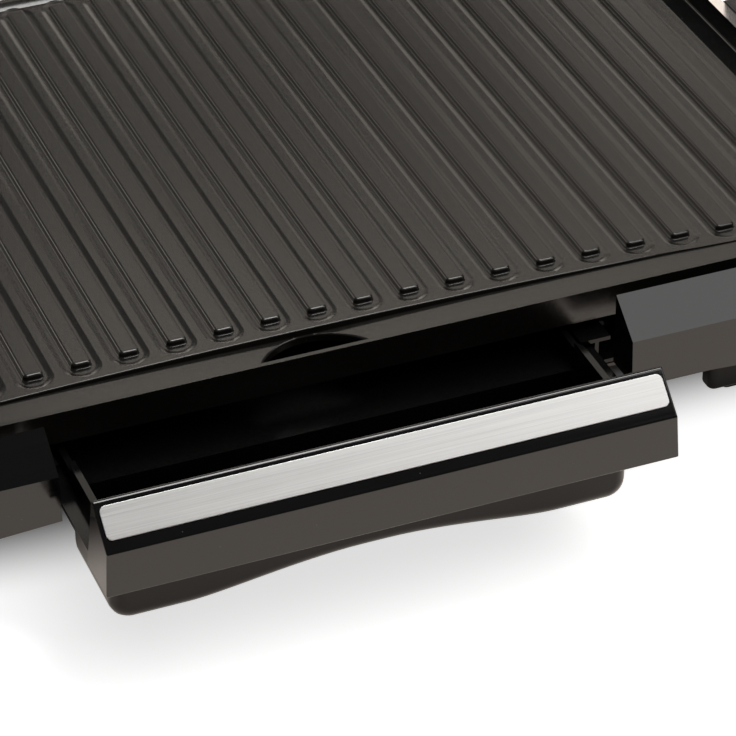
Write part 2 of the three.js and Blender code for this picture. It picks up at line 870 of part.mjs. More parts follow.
// Side handles
function handle(side) {
  const top = ribTopHeight - handleTopDrop + railTopRise;
  const rootX = railSideFace + seatGap;
  const endX = rootX + handleReach;
  const y0 = handleFrontInset;
  const y1 = handleFrontInset + handleLength;
  const shape = new THREE.Shape();
  shape.moveTo(rootX, y1);
  shape.lineTo(rootX, y0);
  shape.absarc(endX - handleCornerRadius, y0 + handleCornerRadius, handleCornerRadius, -Math.PI / 2, 0);
  shape.absarc(endX - handleCornerRadius, y1 - handleCornerRadius, handleCornerRadius, 0, Math.PI / 2);
  shape.lineTo(rootX, y1);
  const loop = prismZ(shape, top - handleThickness, top, rounding(handleEdgeRadius), 2 * arcSteps);
  const gap = prismZ(
    roundedOutline(rootX + handleRoot, endX - handleGrip, y0 + handleArm, y1 - handleArm, handleGapRadius),
    top - handleThickness - overrun,
    top + overrun,
  );
  const holes = handleScrewRows.map((y) => {
    const seat = new THREE.Vector3(handleScrewSeat, y, handleScrewHeight);
    return screwHole(largeScrew, seat, new THREE.Vector3(1, 0, 0));
  });
  return solid(geometryOf(cut(loop, gap, ...holes)).scale(side, 1, 1));
}

// Drawer cap
const capSlope = new THREE.Vector3(0, capBevelRun, capBevelFall).normalize();
const capOutward = new THREE.Vector3(1, 0, 0).cross(capSlope);
const capRearAt = (z) => trayFront - (capRearLean * (z - capBottomHeight)) / capHeight;
const capScrewHeight = trayRimHeight + smallScrew.headRadius + capWall;
const capScrewShares = [-0.62, 0, 0.62];
const capScrewPlaces = capScrewShares.map((share) => share * capHalfWidth);
const panelForward = new THREE.Vector3(0, -capHeight, -capRearLean).normalize();
const capBossRadius = 2 * smallScrew.shankRadius + screwGap;

function stripFrame() {
  const middle = new THREE.Vector3(0, capTopFront, capTopHeight);
  middle.addScaledVector(capSlope, -stripTopMargin - stripWidth / 2);
  return new THREE.Matrix4()
    .makeBasis(new THREE.Vector3(1, 0, 0), capSlope, capOutward)
    .setPosition(middle);
}

function stripSolid(room) {
  const halfLength = capHalfWidth - stripEndMargin + room;
  const halfWidth = stripWidth / 2 + room;
  const shape = roundedOutline(-halfLength, halfLength, -halfWidth, halfWidth, stripCornerRadius + room);
  const depth = room > 0 ? stripThickness + overrun : stripThickness;
  const geometry = extruded(shape, depth, undefined, 2 * arcSteps);
  return solid(geometry.translate(0, 0, -stripThickness + seatGap - room).applyMatrix4(stripFrame()));
}

function capScrewSeat(x) {
  const rear = capRearAt(capScrewHeight) + seatGap;
  return new THREE.Vector3(x, rear, capScrewHeight);
}

function drawerCap() {
  const halfWidth = capHalfWidth + capEndFlare;
  const outer = prismX(
    outline([
      [capRearTop, capTopHeight],
      [capTopFront, capTopHeight],
      [capCreaseFront, capCreaseHeight],
      [capFront, capBottomHeight],
      [trayFront, capBottomHeight],
    ]),
    -halfWidth,
    halfWidth,
  );
  const skin = capWall * Math.hypot(1, capBevelFall / capBevelRun);
  const hollowTop = capTopHeight - capWall;
  const hollowFront = capCreaseFront + capWall;
  const bevelStart = capTopFront - ((hollowTop - capTopHeight + skin) * capBevelRun) / capBevelFall;
  const hollow = prismX(
    outline([
      [trayFront + overrun, hollowTop],
      [Math.max(bevelStart, capTopFront), hollowTop],
      [hollowFront, capCreaseHeight - skin + (capWall * capBevelFall) / capBevelRun],
      [capFront + capWall, capBottomHeight - overrun],
      [trayFront + overrun, capBottomHeight - overrun],
    ]),
    -capHalfWidth + capWall,
    capHalfWidth - capWall,
  );
  const trims = [-1, 1].map((side) => {
    const shape = outline([
      [side * capHalfWidth, capTopHeight],
      [side * halfWidth, capBottomHeight],
      [side * halfWidth, capBottomHeight - overrun],
      [side * (halfWidth + overrun), capBottomHeight - overrun],
      [side * (halfWidth + overrun), capTopHeight + overrun],
      [side * capHalfWidth, capTopHeight + overrun],
    ]);
    return prismY(shape, capFront - overrun, trayFront + overrun);
  });
  const bosses = capScrewPlaces.map((x) => {
    const from = capScrewSeat(x).addScaledVector(panelForward, trayWall + 2 * seatGap);
    const to = from.clone().addScaledVector(panelForward, capDepth);
    return rod(from, to, capBossRadius).intersect(outer);
  });
  const holes = capScrewPlaces.map((x) => screwHole(smallScrew, capScrewSeat(x), panelForward));
  return cut(joined(cut(outer, hollow, ...trims), ...bosses), stripSolid(seatGap), ...holes);
}

// Drip tray
function wellShape(inset) {
  const half = wellHalfWidth - inset;
  const low = wellBottomHeight + inset;
  const high = low + wellArch;
  const top = trayRimHeight + 2 * wellCornerRadius;
  const radius = wellCornerRadius - inset;
  const lobe = wellLobeStart - wellLobeRun;
  const crown = wellArchHalfWidth + wellArchRun;
  const shape = new THREE.Shape();
  shape.moveTo(-half, top);
  shape.lineTo(-half, low + radius);
  shape.absarc(-half + radius, low + radius, radius, Math.PI, 1.5 * Math.PI);
  shape.lineTo(-wellLobeStart, low);
  shape.bezierCurveTo(-lobe, low, -crown, high, -wellArchHalfWidth, high);
  shape.lineTo(wellArchHalfWidth, high);
  shape.bezierCurveTo(crown, high, lobe, low, wellLobeStart, low);
  shape.absarc(half - radius, low + radius, radius, 1.5 * Math.PI, 2 * Math.PI);
  shape.lineTo(half, top);
  return shape;
}

function dripTray() {
  const farX = wellHalfWidth + overrun;
  const well = prismY(wellShape(0), trayFront, wellRear, rounding(wellEdgeRadius), waveSteps);
  const overWell = box(-farX, farX, trayFront - overrun, wellRear + overrun, trayRimHeight, trayRimHeight + overrun);
  const shelf = prismX(
    outline([
      [wellRear - 2 * trayWall, shelfBottomHeight],
      [shelfRear, shelfBottomHeight + shelfFall],
      [shelfRear, shelfRimHeight],
      [wellRear - 2 * trayWall, shelfRimHeight],
    ]),
    -wellHalfWidth,
    wellHalfWidth,
  );
  const tongues = [-1, 1].map((side) => {
    const edge = side * tongueEdge;
    const root = side * (wellHalfWidth - trayWall);
    return box(
      Math.min(edge, root),
      Math.max(edge, root),
      trayFront,
      shelfRear,
      tongueTopHeight - tongueThickness,
      tongueTopHeight,
    );
  });
  const cheeks = [-1, 1].map((side) => {
    const outer = side * wellHalfWidth;
    const inner = side * (wellHalfWidth - trayWall);
    return box(
      Math.min(outer, inner),
      Math.max(outer, inner),
      capRearAt(trayRimHeight) - trayWall,
      trayFront + 2 * wellEdgeRadius,
      tongueTopHeight - tongueThickness,
      trayRimHeight,
    );
  });
  const panelHalf = capHalfWidth - capWall - seatGap;
  const panelBottom = capBottomHeight + seatGap;
  const panelTop = capTopHeight - capWall - seatGap;
  const panel = prismX(
    outline([
      [capRearAt(panelBottom) - trayWall, panelBottom],
      [capRearAt(panelTop) - trayWall, panelTop],
      [capRearAt(panelTop), panelTop],
      [capRearAt(trayRimHeight), trayRimHeight],
      [trayFront + trayWall, trayRimHeight],
      [trayFront + trayWall, panelBottom],
    ]),
    -panelHalf,
    panelHalf,
  );
  const wellHollow = prismY(
    wellShape(trayWall),
    trayFront + trayWall,
    wellRear - trayWall,
    rounding(wellEdgeRadius - trayWall),
    waveSteps,
  );
  const shelfHollow = prismX(
    outline([
      [trayFront + wellLength / 2, shelfBottomHeight + trayWall],
      [wellRear - trayWall, shelfBottomHeight + trayWall],
      [shelfRear - trayWall, shelfBottomHeight + shelfFall + trayWall],
      [shelfRear - trayWall, trayRimHeight + overrun],
      [trayFront + wellLength / 2, trayRimHeight + overrun],
    ]),
    -wellHalfWidth + trayWall,
    wellHalfWidth - trayWall,
  );
  const body = joined(cut(well, overWell), shelf, ...tongues, ...cheeks, panel);
  const holes = capScrewPlaces.map((x) => screwHole(smallScrew, capScrewSeat(x), panelForward));
  return cut(body, wellHollow, shelfHollow, ...holes);
}

// Heating element: a sheathed rod bent round the plate's underside
const elementHeight = plateUnderside - seatGap - elementRadius;
const elementEnd = plateHalfWidth - elementEndInset;
const elementRightReach = elementEnd - elementEndRun;
const terminalRows = [terminalRow - terminalSpacing / 2, terminalRow + terminalSpacing / 2];

function elementRoute() {
  const turns = [
    [elementRightReach, terminalRows[1]],
    [elementRightReach, elementRearRow],
    [-elementLeftReach, elementRearRow],
    [-elementLeftReach, elementThirdRow],
    [elementInnerReach, elementThirdRow],
    [elementInnerReach, elementSecondRow],
    [-elementLeftReach, elementSecondRow],
    [-elementLeftReach, elementFrontRow],
    [elementRightReach, elementFrontRow],
    [elementRightReach, terminalRows[0]],
  ].map(([x, y]) => new THREE.Vector2(x, y));
  const ends = [new THREE.Vector2(elementEnd, terminalRows[1]), new THREE.Vector2(elementEnd, terminalRows[0])];
  const knots = [ends[0], ...turns, ends[1]];
  const route = [ends[0]];
  for (let i = 1; i < knots.length - 1; i += 1) {
    const back = knots[i - 1].clone().sub(knots[i]).setLength(elementBendRadius);
    const ahead = knots[i + 1].clone().sub(knots[i]).setLength(elementBendRadius);
    for (let k = 0; k <= arcSteps; k += 1) {
      const angle = (Math.PI / 2) * (k / arcSteps);
      const spot = knots[i].clone();
      spot.addScaledVector(back, 1 - Math.sin(angle));
      spot.addScaledVector(ahead, 1 - Math.cos(angle));
      route.push(spot);
    }
  }
  route.push(ends[1]);
  return route;
}

function heatingElement() {
  const route = elementRoute();
  const sides = roundSides - 2;
  const rings = route.map((spot, i) => {
    const before = route[Math.max(i - 1, 0)];
    const after = route[Math.min(i + 1, route.length - 1)];
    const along = after.clone().sub(before).normalize();
    const arrive = i > 0 ? spot.clone().sub(before).normalize() : along;
    const stretch = 1 / Math.max(Math.abs(arrive.dot(along)), 1 / 2);
    const ring = [];
    for (let k = 0; k < sides; k += 1) {
      const angle = (2 * Math.PI * (k + 1 / 2)) / sides;
      const out = elementRadius * Math.cos(angle) * stretch;
      const lift = elementRadius * Math.sin(angle);
      ring.push(new THREE.Vector3(spot.x - along.y * out, spot.y + along.x * out, elementHeight + lift));
    }
    return ring;
  });
  return cut(loft(rings, false), ...terminalRows.map((y) => terminalPin(y, seatGap)));
}

function terminalPin(y, room = 0) {
  const from = new THREE.Vector3(elementEnd - pinRoot - room, y, elementHeight);
  const to = new THREE.Vector3(elementEnd + pinLength, y, elementHeight);
  return rod(from, to, pinRadius + room);
}

function sensorSleeve() {
  const height = plateUnderside - seatGap - sleeveRadius;
  const outer = elementEnd + pinLength;
  const tube = rod(
    new THREE.Vector3(outer - sleeveLength, terminalRow, height),
    new THREE.Vector3(outer, terminalRow, height),
    sleeveRadius,
  );
  const bore = rod(
    new THREE.Vector3(outer - sleeveLength + sleeveBoreRadius, terminalRow, height),
    new THREE.Vector3(outer + overrun, terminalRow, height),
    sleeveBoreRadius,
  );
  return cut(tube, bore);
}

function terminalGuard() {
  const half = terminalSpacing / 2 + guardSideRoom;
  const x1 = plateHalfWidth - guardOuterGap;
  const x0 = x1 - guardLength;
  const top = plateUnderside - seatGap;
  const y0 = terminalRow - half;
  const y1 = terminalRow + half;
  const shell = box(x0, x1, y0, y1, top - guardDepth, top);
  const inside = box(
    x0 + guardSheet,
    x1 + overrun,
    y0 + guardSheet,
    y1 - guardSheet,
    top - guardDepth + guardSheet,
    top + overrun,
  );
  const pass = elementRadius + 2 * seatGap;
  const holes = terminalRows.map((y) => rod(
    new THREE.Vector3(x0 - overrun, y, elementHeight),
    new THREE.Vector3(x0 + overrun / 2, y, elementHeight),
    pass,
  ));
  const sleeveHeight = plateUnderside - seatGap - sleeveRadius;
  const sleeveHole = rod(
    new THREE.Vector3(x0 - overrun, terminalRow, sleeveHeight),
    new THREE.Vector3(x0 + overrun / 2, terminalRow, sleeveHeight),
    sleeveRadius + 2 * seatGap,
  );
  return cut(shell, inside, ...holes, sleeveHole);
}

// Element clamps: a saddle under the rod and a tab against the plate
const clampPlaces = [
  [-elementLeftReach / 2, elementFrontRow],
  [elementInnerReach / 2, elementFrontRow],
  [-elementLeftReach / 2, elementRearRow],
  [elementInnerReach / 2, elementRearRow],
];
const clampBossRadius = 2 * smallScrew.shankRadius + screwGap;
const clampTabMiddle = elementRadius + seatGap + clampSheet + clampTab / 2;

function clampScrewSeat([x, y]) {
  return new THREE.Vector3(x, y + clampTabMiddle, plateUnderside - seatGap - clampSheet - seatGap);
}

function clamp([x, y]) {
  const top = plateUnderside - seatGap;
  const reach = elementRadius + seatGap;
  const low = elementHeight - reach;
  const section = outline([
    [y + reach, top],
    [y + reach + clampSheet + clampTab, top],
    [y + reach + clampSheet + clampTab, top - clampSheet],
    [y + reach + clampSheet, top - clampSheet],
    [y + reach + clampSheet, low - clampSheet],
    [y - reach, low - clampSheet],
    [y - reach, low],
    [y + reach, low],
  ]);
  const strap = prismX(section, x - clampWidth / 2, x + clampWidth / 2);
  return cut(strap, screwHole(smallScrew, clampScrewSeat([x, y]), up));
}

const clampScrew = { ...smallScrew, shankLength: plateSkin - troughDepth };
const clampHoles = clampPlaces.map((place) => screwHole(clampScrew, clampScrewSeat(place), up));

// Base pieces
piece(base, 'base_frame', baseFrame(), 'glossBlack');
piece(base, 'control_port_liner', portLiner(), 'satinBlack');
piece(base, 'heat_shield', heatShield(), 'sheetSteel');
for (const [side, hand] of [[-1, 'left'], [1, 'right']]) {
  piece(base, `drawer_runner_${hand}`, runner(side), 'satinBlack');
  runnerScrewRows.forEach((y, i) => {
    const seat = new THREE.Vector3(side * runnerScrewX, y, panTop + runnerWall + 2 * seatGap);
    const name = `runner_screw_${hand}_${i === 0 ? 'front' : 'rear'}`;
    piece(base, name, screwSolid({ ...smallScrew, shankLength: runnerWall + 2 * panThickness }, seat, down), 'screwZinc');
  });
  legRows.forEach((y, i) => {
    const end = i === 0 ? 'front' : 'rear';
    piece(base, `leg_${end}_${hand}`, leg(side, y), 'satinBlack');
    piece(base, `foot_pad_${end}_${hand}`, padSolid(side, y, 0), 'rubber');
    const seat = new THREE.Vector3(side * legCentreX, y, panTop + seatGap);
    piece(base, `leg_screw_${end}_${hand}`, screwSolid(largeScrew, seat, down), 'screwZinc');
  });
  piece(base, `side_handle_${hand}`, handle(side), 'glossBlack');
  handleScrewRows.forEach((y, i) => {
    const seat = new THREE.Vector3(side * handleScrewSeat, y, handleScrewHeight);
    const name = `handle_screw_${hand}_${i === 0 ? 'front' : 'rear'}`;
    piece(base, name, screwSolid(largeScrew, seat, new THREE.Vector3(side, 0, 0)), 'screwZinc');
  });
  piece(base, `plate_post_front_${hand}`, post(side * postHalfSpanFront, postFrontInset), 'nickel');
  const rearPost = post(side * postHalfSpanRear, plateRear - postRearInset);
  piece(base, `plate_post_rear_${hand}`, rearPost, 'nickel');
}

// Plate pieces
piece(plate, 'grill_plate', cut(grillPlate(), ...clampHoles), 'coatedAluminium');
piece(plate, 'heating_element', heatingElement(), 'elementSheath');
terminalRows.forEach((y, i) => {
  piece(plate, `terminal_pin_${i === 0 ? 'front' : 'rear'}`, terminalPin(y), 'nickel');
});
piece(plate, 'sensor_sleeve', sensorSleeve(), 'nickel');
piece(plate, 'terminal_guard', terminalGuard(), 'sheetSteel');
clampPlaces.forEach((place, i) => {
  piece(plate, `element_clamp_${i + 1}`, clamp(place), 'sheetSteel');
  piece(plate, `clamp_screw_${i + 1}`, screwSolid(clampScrew, clampScrewSeat(place), up), 'screwZinc');
});

// Drawer pieces
piece(drawer, 'drawer_cap', drawerCap(), 'glossBlack');
piece(drawer, 'drawer_strip', stripSolid(0), 'brushedAluminium');
piece(drawer, 'drip_tray', dripTray(), 'satinBlack');
['left', 'middle', 'right'].forEach((place, i) => {
  const screw = screwSolid(smallScrew, capScrewSeat(capScrewPlaces[i]), panelForward);
  piece(drawer, `cap_screw_${place}`, screw, 'screwZinc');
});

// The middle of the whole grill, drawer open, stands over the origin
const rearFace = frameRear + railDepth;
grill.position.y = -(capFront + rearFace) / 2;

export default grill;
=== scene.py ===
"""Indoor grill with a drip drawer: finished surfaces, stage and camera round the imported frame."""

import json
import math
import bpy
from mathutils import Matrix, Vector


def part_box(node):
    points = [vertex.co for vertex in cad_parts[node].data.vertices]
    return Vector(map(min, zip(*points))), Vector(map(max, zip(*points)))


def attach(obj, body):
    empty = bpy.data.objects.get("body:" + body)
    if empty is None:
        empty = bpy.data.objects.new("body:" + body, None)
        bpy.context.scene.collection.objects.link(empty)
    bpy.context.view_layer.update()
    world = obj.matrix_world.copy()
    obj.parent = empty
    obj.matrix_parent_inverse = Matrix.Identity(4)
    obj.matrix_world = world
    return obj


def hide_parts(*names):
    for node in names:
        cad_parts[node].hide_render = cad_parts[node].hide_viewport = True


bl_info = {
    "name": "Indoor Grill",
    "version": (1, 0, 0),
    "blender": (4, 5, 0),
    "location": "View3D > Sidebar > Grill",
    "description": "Builds the finished surfaces of an indoor grill with a drip drawer",
    "category": "Add Mesh",
}

import bmesh
import bpy
from mathutils import Vector

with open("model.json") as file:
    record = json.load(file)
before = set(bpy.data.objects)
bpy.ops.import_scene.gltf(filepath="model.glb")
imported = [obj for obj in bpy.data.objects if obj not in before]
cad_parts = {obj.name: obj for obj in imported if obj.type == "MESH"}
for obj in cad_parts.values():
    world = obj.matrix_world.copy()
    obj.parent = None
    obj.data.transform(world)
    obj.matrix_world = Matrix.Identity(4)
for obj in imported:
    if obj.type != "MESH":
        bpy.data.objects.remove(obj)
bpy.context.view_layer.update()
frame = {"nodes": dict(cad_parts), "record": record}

# Millimetres, as the sizes below are given
MM = 0.001
PLATE_FRONT = -22.9
ORIGIN_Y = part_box("grill_plate")[0].y / MM - PLATE_FRONT

# A gap too small to see, which keeps two points or faces apart
SLIVER = 0.02

# How far a cutting tool stands past what it cuts, and a height above the whole grill
PAST = 10.0
ABOVE_ALL = 120.0

# Room left between two pieces
ROOM = 0.3

# Edges that turn by more degrees than this stay sharp
SHARP_ANGLE = 40

DUST_COLOUR = (0.16, 0.155, 0.15)

# Plate
PLATE_HALF = 199.8
PLATE_REAR = 232.5
PLATE_CORNER = 12.0
RIB_TOP = 70.0
RIB_LENGTH = 223.5
RIB_FRONT = -1.2
RIB_SINK = 0.04
RIB_FOOT = 0.5
RIB_ROUND = 0.8
RIB_CROWN = 1.0
RIB_CORNER = 1.9
RIB_ROOT = 0.6
RIB_LEAN = 0.06
SWEEP_REACH = 152.0
TROUGH_STAND = 1.0
TROUGH_FRONT = -7.1
TROUGH_PAST = 3.8
TROUGH_SLOPE = 2.8
# How far each step of the trough's side falls
TROUGH_FALLS = (0.011, 0.027, 0.044, 0.055, 0.055, 0.055, 0.044, 0.027, 0.011)
LAND = 68.4
SKIRT_BOTTOM = 57.0
UNDERSIDE = 63.6
SKIRT_WALL = 3.4
CREST_WIDTH = 2.6
CREST_RUN = 3.2
CREST_FALL = 17.0
LIP = 1.6
GUTTER_HALF = 185.0
GUTTER_DROP = 2.25
GUTTER_ROUND = 0.5
GUTTER_ROUND_REACH = 0.7 * GUTTER_HALF
LAND_REACH = 8.6
DRAIN_RADIUS = 21.5
DRAIN_REACH = 30.8
DRAIN_ROUND = 0.8
DRAIN_SINK = 0.2
NOTCH_ROW = 165.0
NOTCH_HALF = 22.7
PLATE_ROUND = 0.7

# Base
FRAME_HALF = 201.0
FRAME_FRONT = -29.3
FRAME_REAR = 233.7
FRAME_CORNER = 8.0
FRAME_WALL = 2.4
FRAME_BOTTOM = 32.0
LEDGE = 66.8
LEDGE_WIDTH = 9.4
RAIL_TOP = 76.2
RAIL_RUN = 13.2
RAIL_FALL = 10.0
RAIL_LEAN = 1.0
RAIL_BOTTOM = 50.4
CORNER_BOTTOM = 44.9
REAR_LEDGE = 62.0
REAR_CREST = 58.4
REAR_CREASE = 50.0
REAR_BLEND = 31.0
REAR_SKIN = 1.45
FLANGE_WIDTH = 6.0
FLANGE_HEIGHT = 38.7
FLANGE_SHEET = 2.0
BAY_HALF = 95.8
POCKET_LENGTH = 16.0
LEDGE_FILLET = 1.0
PORT_ROW = 165.0
PORT_HALF = 20.4
PORT_LOW = 43.9
PORT_HIGH = 62.7
HOLLOW_BOTTOM = 40.0
BASE_ROUND = 0.8

# Drawer
CAP_HALF = 93.4
CAP_FLARE = 0.9
CAP_WALL = 2.4
CAP_TOP = 73.7
CAP_CREASE = 63.0
CAP_CREASE_SINK = 1.1
CAP_BOTTOM = 47.5
CAP_FRONT = -90.3
CAP_LEAN = 0.6
CAP_RUN = 12.2
CAP_REAR_LEAN = 4.6
CAP_ROUND = 0.55
STRIP_DEPTH = 0.5
STRIP_SHEET = 0.8
STRIP_ROUND = 0.22
TRAY_FRONT = -71.4
TRAY_WALL = 2.2
TRAY_RIM = 56.2
WELL_HALF = 87.1
WELL_REAR = -31.0
WELL_BOTTOM = 20.3
WELL_CORNER = 7.0
WELL_RISE = 14.0
WELL_ROUND = 5.0
WELL_ROUND_INSIDE = 2.8
WELL_ARCH = 5.5
# Weights of the curve that the arch in the well's bottom draws in to the middle
ARCH_REACH = (62, 150, 78, 4)
SHELF_REAR = 30.0
SHELF_BOTTOM = 44.4
SHELF_FALL = 1.4
SHELF_RIM = 54.0
TONGUE_TOP = 50.4
TONGUE_SHEET = 1.6
TONGUE_EDGE = 93.3
TRAY_ROUND = 0.4

# Handles and legs
HANDLE_CORNER = 18.0
HANDLE_GRIP = 12.0
HANDLE_REACH = 36.0
HANDLE_ARM = 13.0
HANDLE_GAP_CORNER = 9.0
HANDLE_ROUND = 2.4
LEG_SHEET = 8.0
LEG_CORNER = 2.6
LEG_ROUND = 1.2

# Studio: each lamp's name, place, target, size, power and colour
WARM = (1.0, 0.92, 0.82)
PLATE_MIDDLE = (0, 0, 0.07)
LAMPS = (
    ("right_panel", (0.8, -0.45, 1.05), (0.1, 0, 0), (0.7, 0.9), 4.6, (1.0, 0.995, 0.985)),
    ("top_panel", (0.34, 0.2, 1.35), (0, 0, 0), (0.6, 0.5), 10.5, (1.0, 0.985, 0.96)),
    ("band_panel", (0.79, 1.45, 1.35), PLATE_MIDDLE, (1.0, 0.3), 1.4, WARM),
    ("low_panel", (0.34, 2.05, 0.68), PLATE_MIDDLE, (1.2, 0.4), 3.7, WARM),
    ("side_panel", (1.25, 1.55, 0.82), PLATE_MIDDLE, (0.7, 0.5), 1.2, WARM),
    ("left_panel", (-0.86, 1.38, 0.78), PLATE_MIDDLE, (0.45, 0.72), 2.4, WARM),
)
CAMERA_SPOT = (-325.06, -866.70, 693.74)
CAMERA_FALL = 34.916
CAMERA_TURN = -22.037
CAMERA_LENS = 170.14

# Shade painted into the floor's glow: front, rear, half width and blur, under the plate and under the
# well
PLATE_PAINTED_SHADE = (24.0, FRAME_REAR, FRAME_HALF - 10, 0.046)
WELL_PAINTED_SHADE = (-40.0, 24.0, WELL_HALF - 20, 0.062)
# Share of the floor's glow left in the painted shade round the well
WELL_PAINTED_LIGHT = 0.72


def at(x, y, z):
    """A place on the grill, from the front ends of the middle ribs and the worktop."""
    return Vector((x, y + ORIGIN_Y, z)) * MM


def by(x, y, z):
    """A move in millimetres."""
    return Vector((x, y, z)) * MM


def place_of(piece, co):
    """Where a point of the piece is, as at() counts it."""
    spot = (piece.matrix_world @ co) / MM
    return Vector((spot.x, spot.y - ORIGIN_Y, spot.z))


def corners_of(box):
    """The two corners of a box from the frame, as at() counts them."""
    return [corner / MM - Vector((0, ORIGIN_Y, 0)) for corner in box]


def clear_selection():
    if bpy.context.object and bpy.context.object.mode != "OBJECT":
        bpy.ops.object.mode_set(mode="OBJECT")
    bpy.ops.object.select_all(action="DESELECT")


def activate(piece):
    clear_selection()
    piece.select_set(True)
    bpy.context.view_layer.objects.active = piece


def edit(piece, kind="VERT"):
    activate(piece)
    bpy.ops.object.mode_set(mode="EDIT")
    bpy.ops.mesh.select_mode(type=kind)


def done():
    bpy.ops.object.mode_set(mode="OBJECT")


def select_whole():
    bpy.ops.mesh.select_all(action="SELECT")


def shift(x, y, z):
    """Moves what is selected, in millimetres."""
    bpy.ops.transform.translate(value=by(x, y, z))


def bevel(width, steps, **options):
    """Rounds the edges that are selected."""
    bpy.ops.mesh.bevel(offset=width * MM, segments=steps, affect="EDGES", **options)


def named(name):
    """Names the piece that was just added."""
    piece = bpy.context.object
    piece.name = name
    piece.data.name = name
    return piece


def choose(piece, kind, passes):
    """Selects the vertices, edges or faces that pass, and nothing else."""
    bpy.ops.mesh.select_mode(type=kind)
    bpy.ops.mesh.select_all(action="DESELECT")
    mesh = bmesh.from_edit_mesh(piece.data)
    mesh_parts = {"VERT": mesh.verts, "EDGE": mesh.edges, "FACE": mesh.faces}
    for part in mesh_parts[kind]:
        part.select = bool(passes(part))
    mesh.select_flush_mode()
    bmesh.update_edit_mesh(piece.data)


def choose_points(piece, test):
    """Selects the vertices whose place passes the test."""
    choose(piece, "VERT", lambda vertex: test(place_of(piece, vertex.co)))


def choose_edges(piece, test):
    """Selects the edges whose two ends pass the test."""
    choose(piece, "EDGE", lambda edge: test(*(place_of(piece, end.co) for end in edge.verts)))


def choose_faces(piece, test):
    """Selects the faces whose middle and normal pass the test."""

    def passes(face):
        return test(place_of(piece, face.calc_center_median()), face.normal)

    bmesh.from_edit_mesh(piece.data).normal_update()
    choose(piece, "FACE", passes)


def upright(a, b):
    """Whether an edge stands upright and is more than a millimetre long."""
    return abs(a.z - b.z) > 1 and (a.xy - b.xy).length < 0.01


def draw_line(name, points):
    """A chain of edges through the points, left in edit mode and selected."""
    clear_selection()
    bpy.ops.mesh.primitive_plane_add(size=MM, location=points[0])
    piece = named(name)
    edit(piece)
    select_whole()
    bpy.ops.mesh.merge(type="CENTER")
    for start, end in zip(points, points[1:]):
        bpy.ops.mesh.extrude_vertices_move(TRANSFORM_OT_translate={"value": end - start})
    select_whole()
    return piece


def draw_face(name, points):
    """A flat face with these corners, left in edit mode and selected."""
    piece = draw_line(name, points)
    bpy.ops.mesh.edge_face_add()
    return piece


def pull(move):
    """Extrudes what is selected along a move."""
    bpy.ops.mesh.extrude_region_move(TRANSFORM_OT_translate={"value": move})


def draw_bar(name, points, move):
    """A bar with a drawn section, pulled out along a move."""
    piece = draw_face(name, points)
    pull(move)
    face_outward(piece)
    return piece


def face_outward(piece):
    edit(piece)
    select_whole()
    bpy.ops.mesh.normals_make_consistent(inside=False)
    done()


def draw_across(name, half, section):
    """A bar from left to right over a half width, with a section of (y, z) corners."""
    return draw_bar(name, [at(-half, y, z) for y, z in section], by(2 * half, 0, 0))


def arc(u, v, radius, start, steps):
    """Points round a quarter circle from its start angle."""
    angles = [math.radians(start + 90 * index / steps) for index in range(steps + 1)]
    return [(u + radius * math.cos(angle), v + radius * math.sin(angle)) for angle in angles]


def add_block(name, low, high, corner=0.0, steps=6):
    """A block between two places, with its upright edges rounded."""
    clear_selection()
    first, last = at(*low), at(*high)
    bpy.ops.mesh.primitive_cube_add(size=1, location=(first + last) / 2, scale=last - first)
    piece = named(name)
    edit(piece, "EDGE")
    if corner > 0:
        choose_edges(piece, upright)
        bevel(corner, steps)
    face_outward(piece)
    return piece


def copy_of(piece, name):
    """A copy of the piece with its own mesh."""
    activate(piece)
    bpy.ops.object.duplicate()
    return named(name)


def join_all(pieces):
    clear_selection()
    for piece in pieces:
        piece.select_set(True)
    bpy.context.view_layer.objects.active = pieces[0]
    bpy.ops.object.join()
    return bpy.context.object


def apply_modifier(piece, kind, **values):
    """Adds a modifier with these values to the piece and applies it."""
    activate(piece)
    bpy.ops.object.modifier_add(type=kind)
    modifier = piece.modifiers[-1]
    for key, value in values.items():
        setattr(modifier, key, value)
    bpy.ops.object.modifier_apply(modifier=modifier.name)


def combine(piece, tool, operation):
    """Cuts the tool out of the piece, or joins it on, and removes the tool."""
    apply_modifier(piece, "BOOLEAN", operation=operation, solver="EXACT", object=tool)
    activate(tool)
    bpy.ops.object.delete()


def cut(piece, *tools):
    for tool in tools:
        combine(piece, tool, "DIFFERENCE")
    return piece


def weld(piece, *others):
    for other in others:
        combine(piece, other, "UNION")
    return piece


def round_edges(piece, width, steps=3, angle=28):
    """Rounds the edges that turn by more than the angle, and merges what falls together."""
    apply_modifier(
        piece,
        "BEVEL",
        width=width * MM,
        segments=steps,
        limit_method="ANGLE",
        angle_limit=math.radians(angle),
        use_clamp_overlap=True,
    )
    edit(piece)
    select_whole()
    bpy.ops.mesh.remove_doubles(threshold=0.01 * MM)
    bpy.ops.mesh.dissolve_degenerate(threshold=0.01 * MM)
    done()


def mirror_x(piece):
    activate(piece)
    bpy.ops.object.transform_apply(location=True, rotation=True, scale=True)
    apply_modifier(piece, "MIRROR", use_axis=(True, False, False), merge_threshold=0.01 * MM)
    face_outward(piece)
    return piece


def finish_piece(piece, body, slot, node):
    """Smooths the piece, gives it its finish and sets it on its body in the node's place."""
    edit(piece)
    select_whole()
    bpy.ops.mesh.remove_doubles(threshold=0.002 * MM)
    bpy.ops.mesh.delete_loose()
    done()
    activate(piece)
    bpy.ops.object.transform_apply(location=True, rotation=True, scale=True)
    bpy.ops.object.shade_smooth_by_angle(angle=math.radians(SHARP_ANGLE))
    apply_modifier(piece, "WEIGHTED_NORMAL", keep_sharp=True)
    piece.data.materials.clear()
    piece.data.materials.append(finish_of(slot))
    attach(piece, body)
    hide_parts(node)


# Shader node groups shared by the finishes


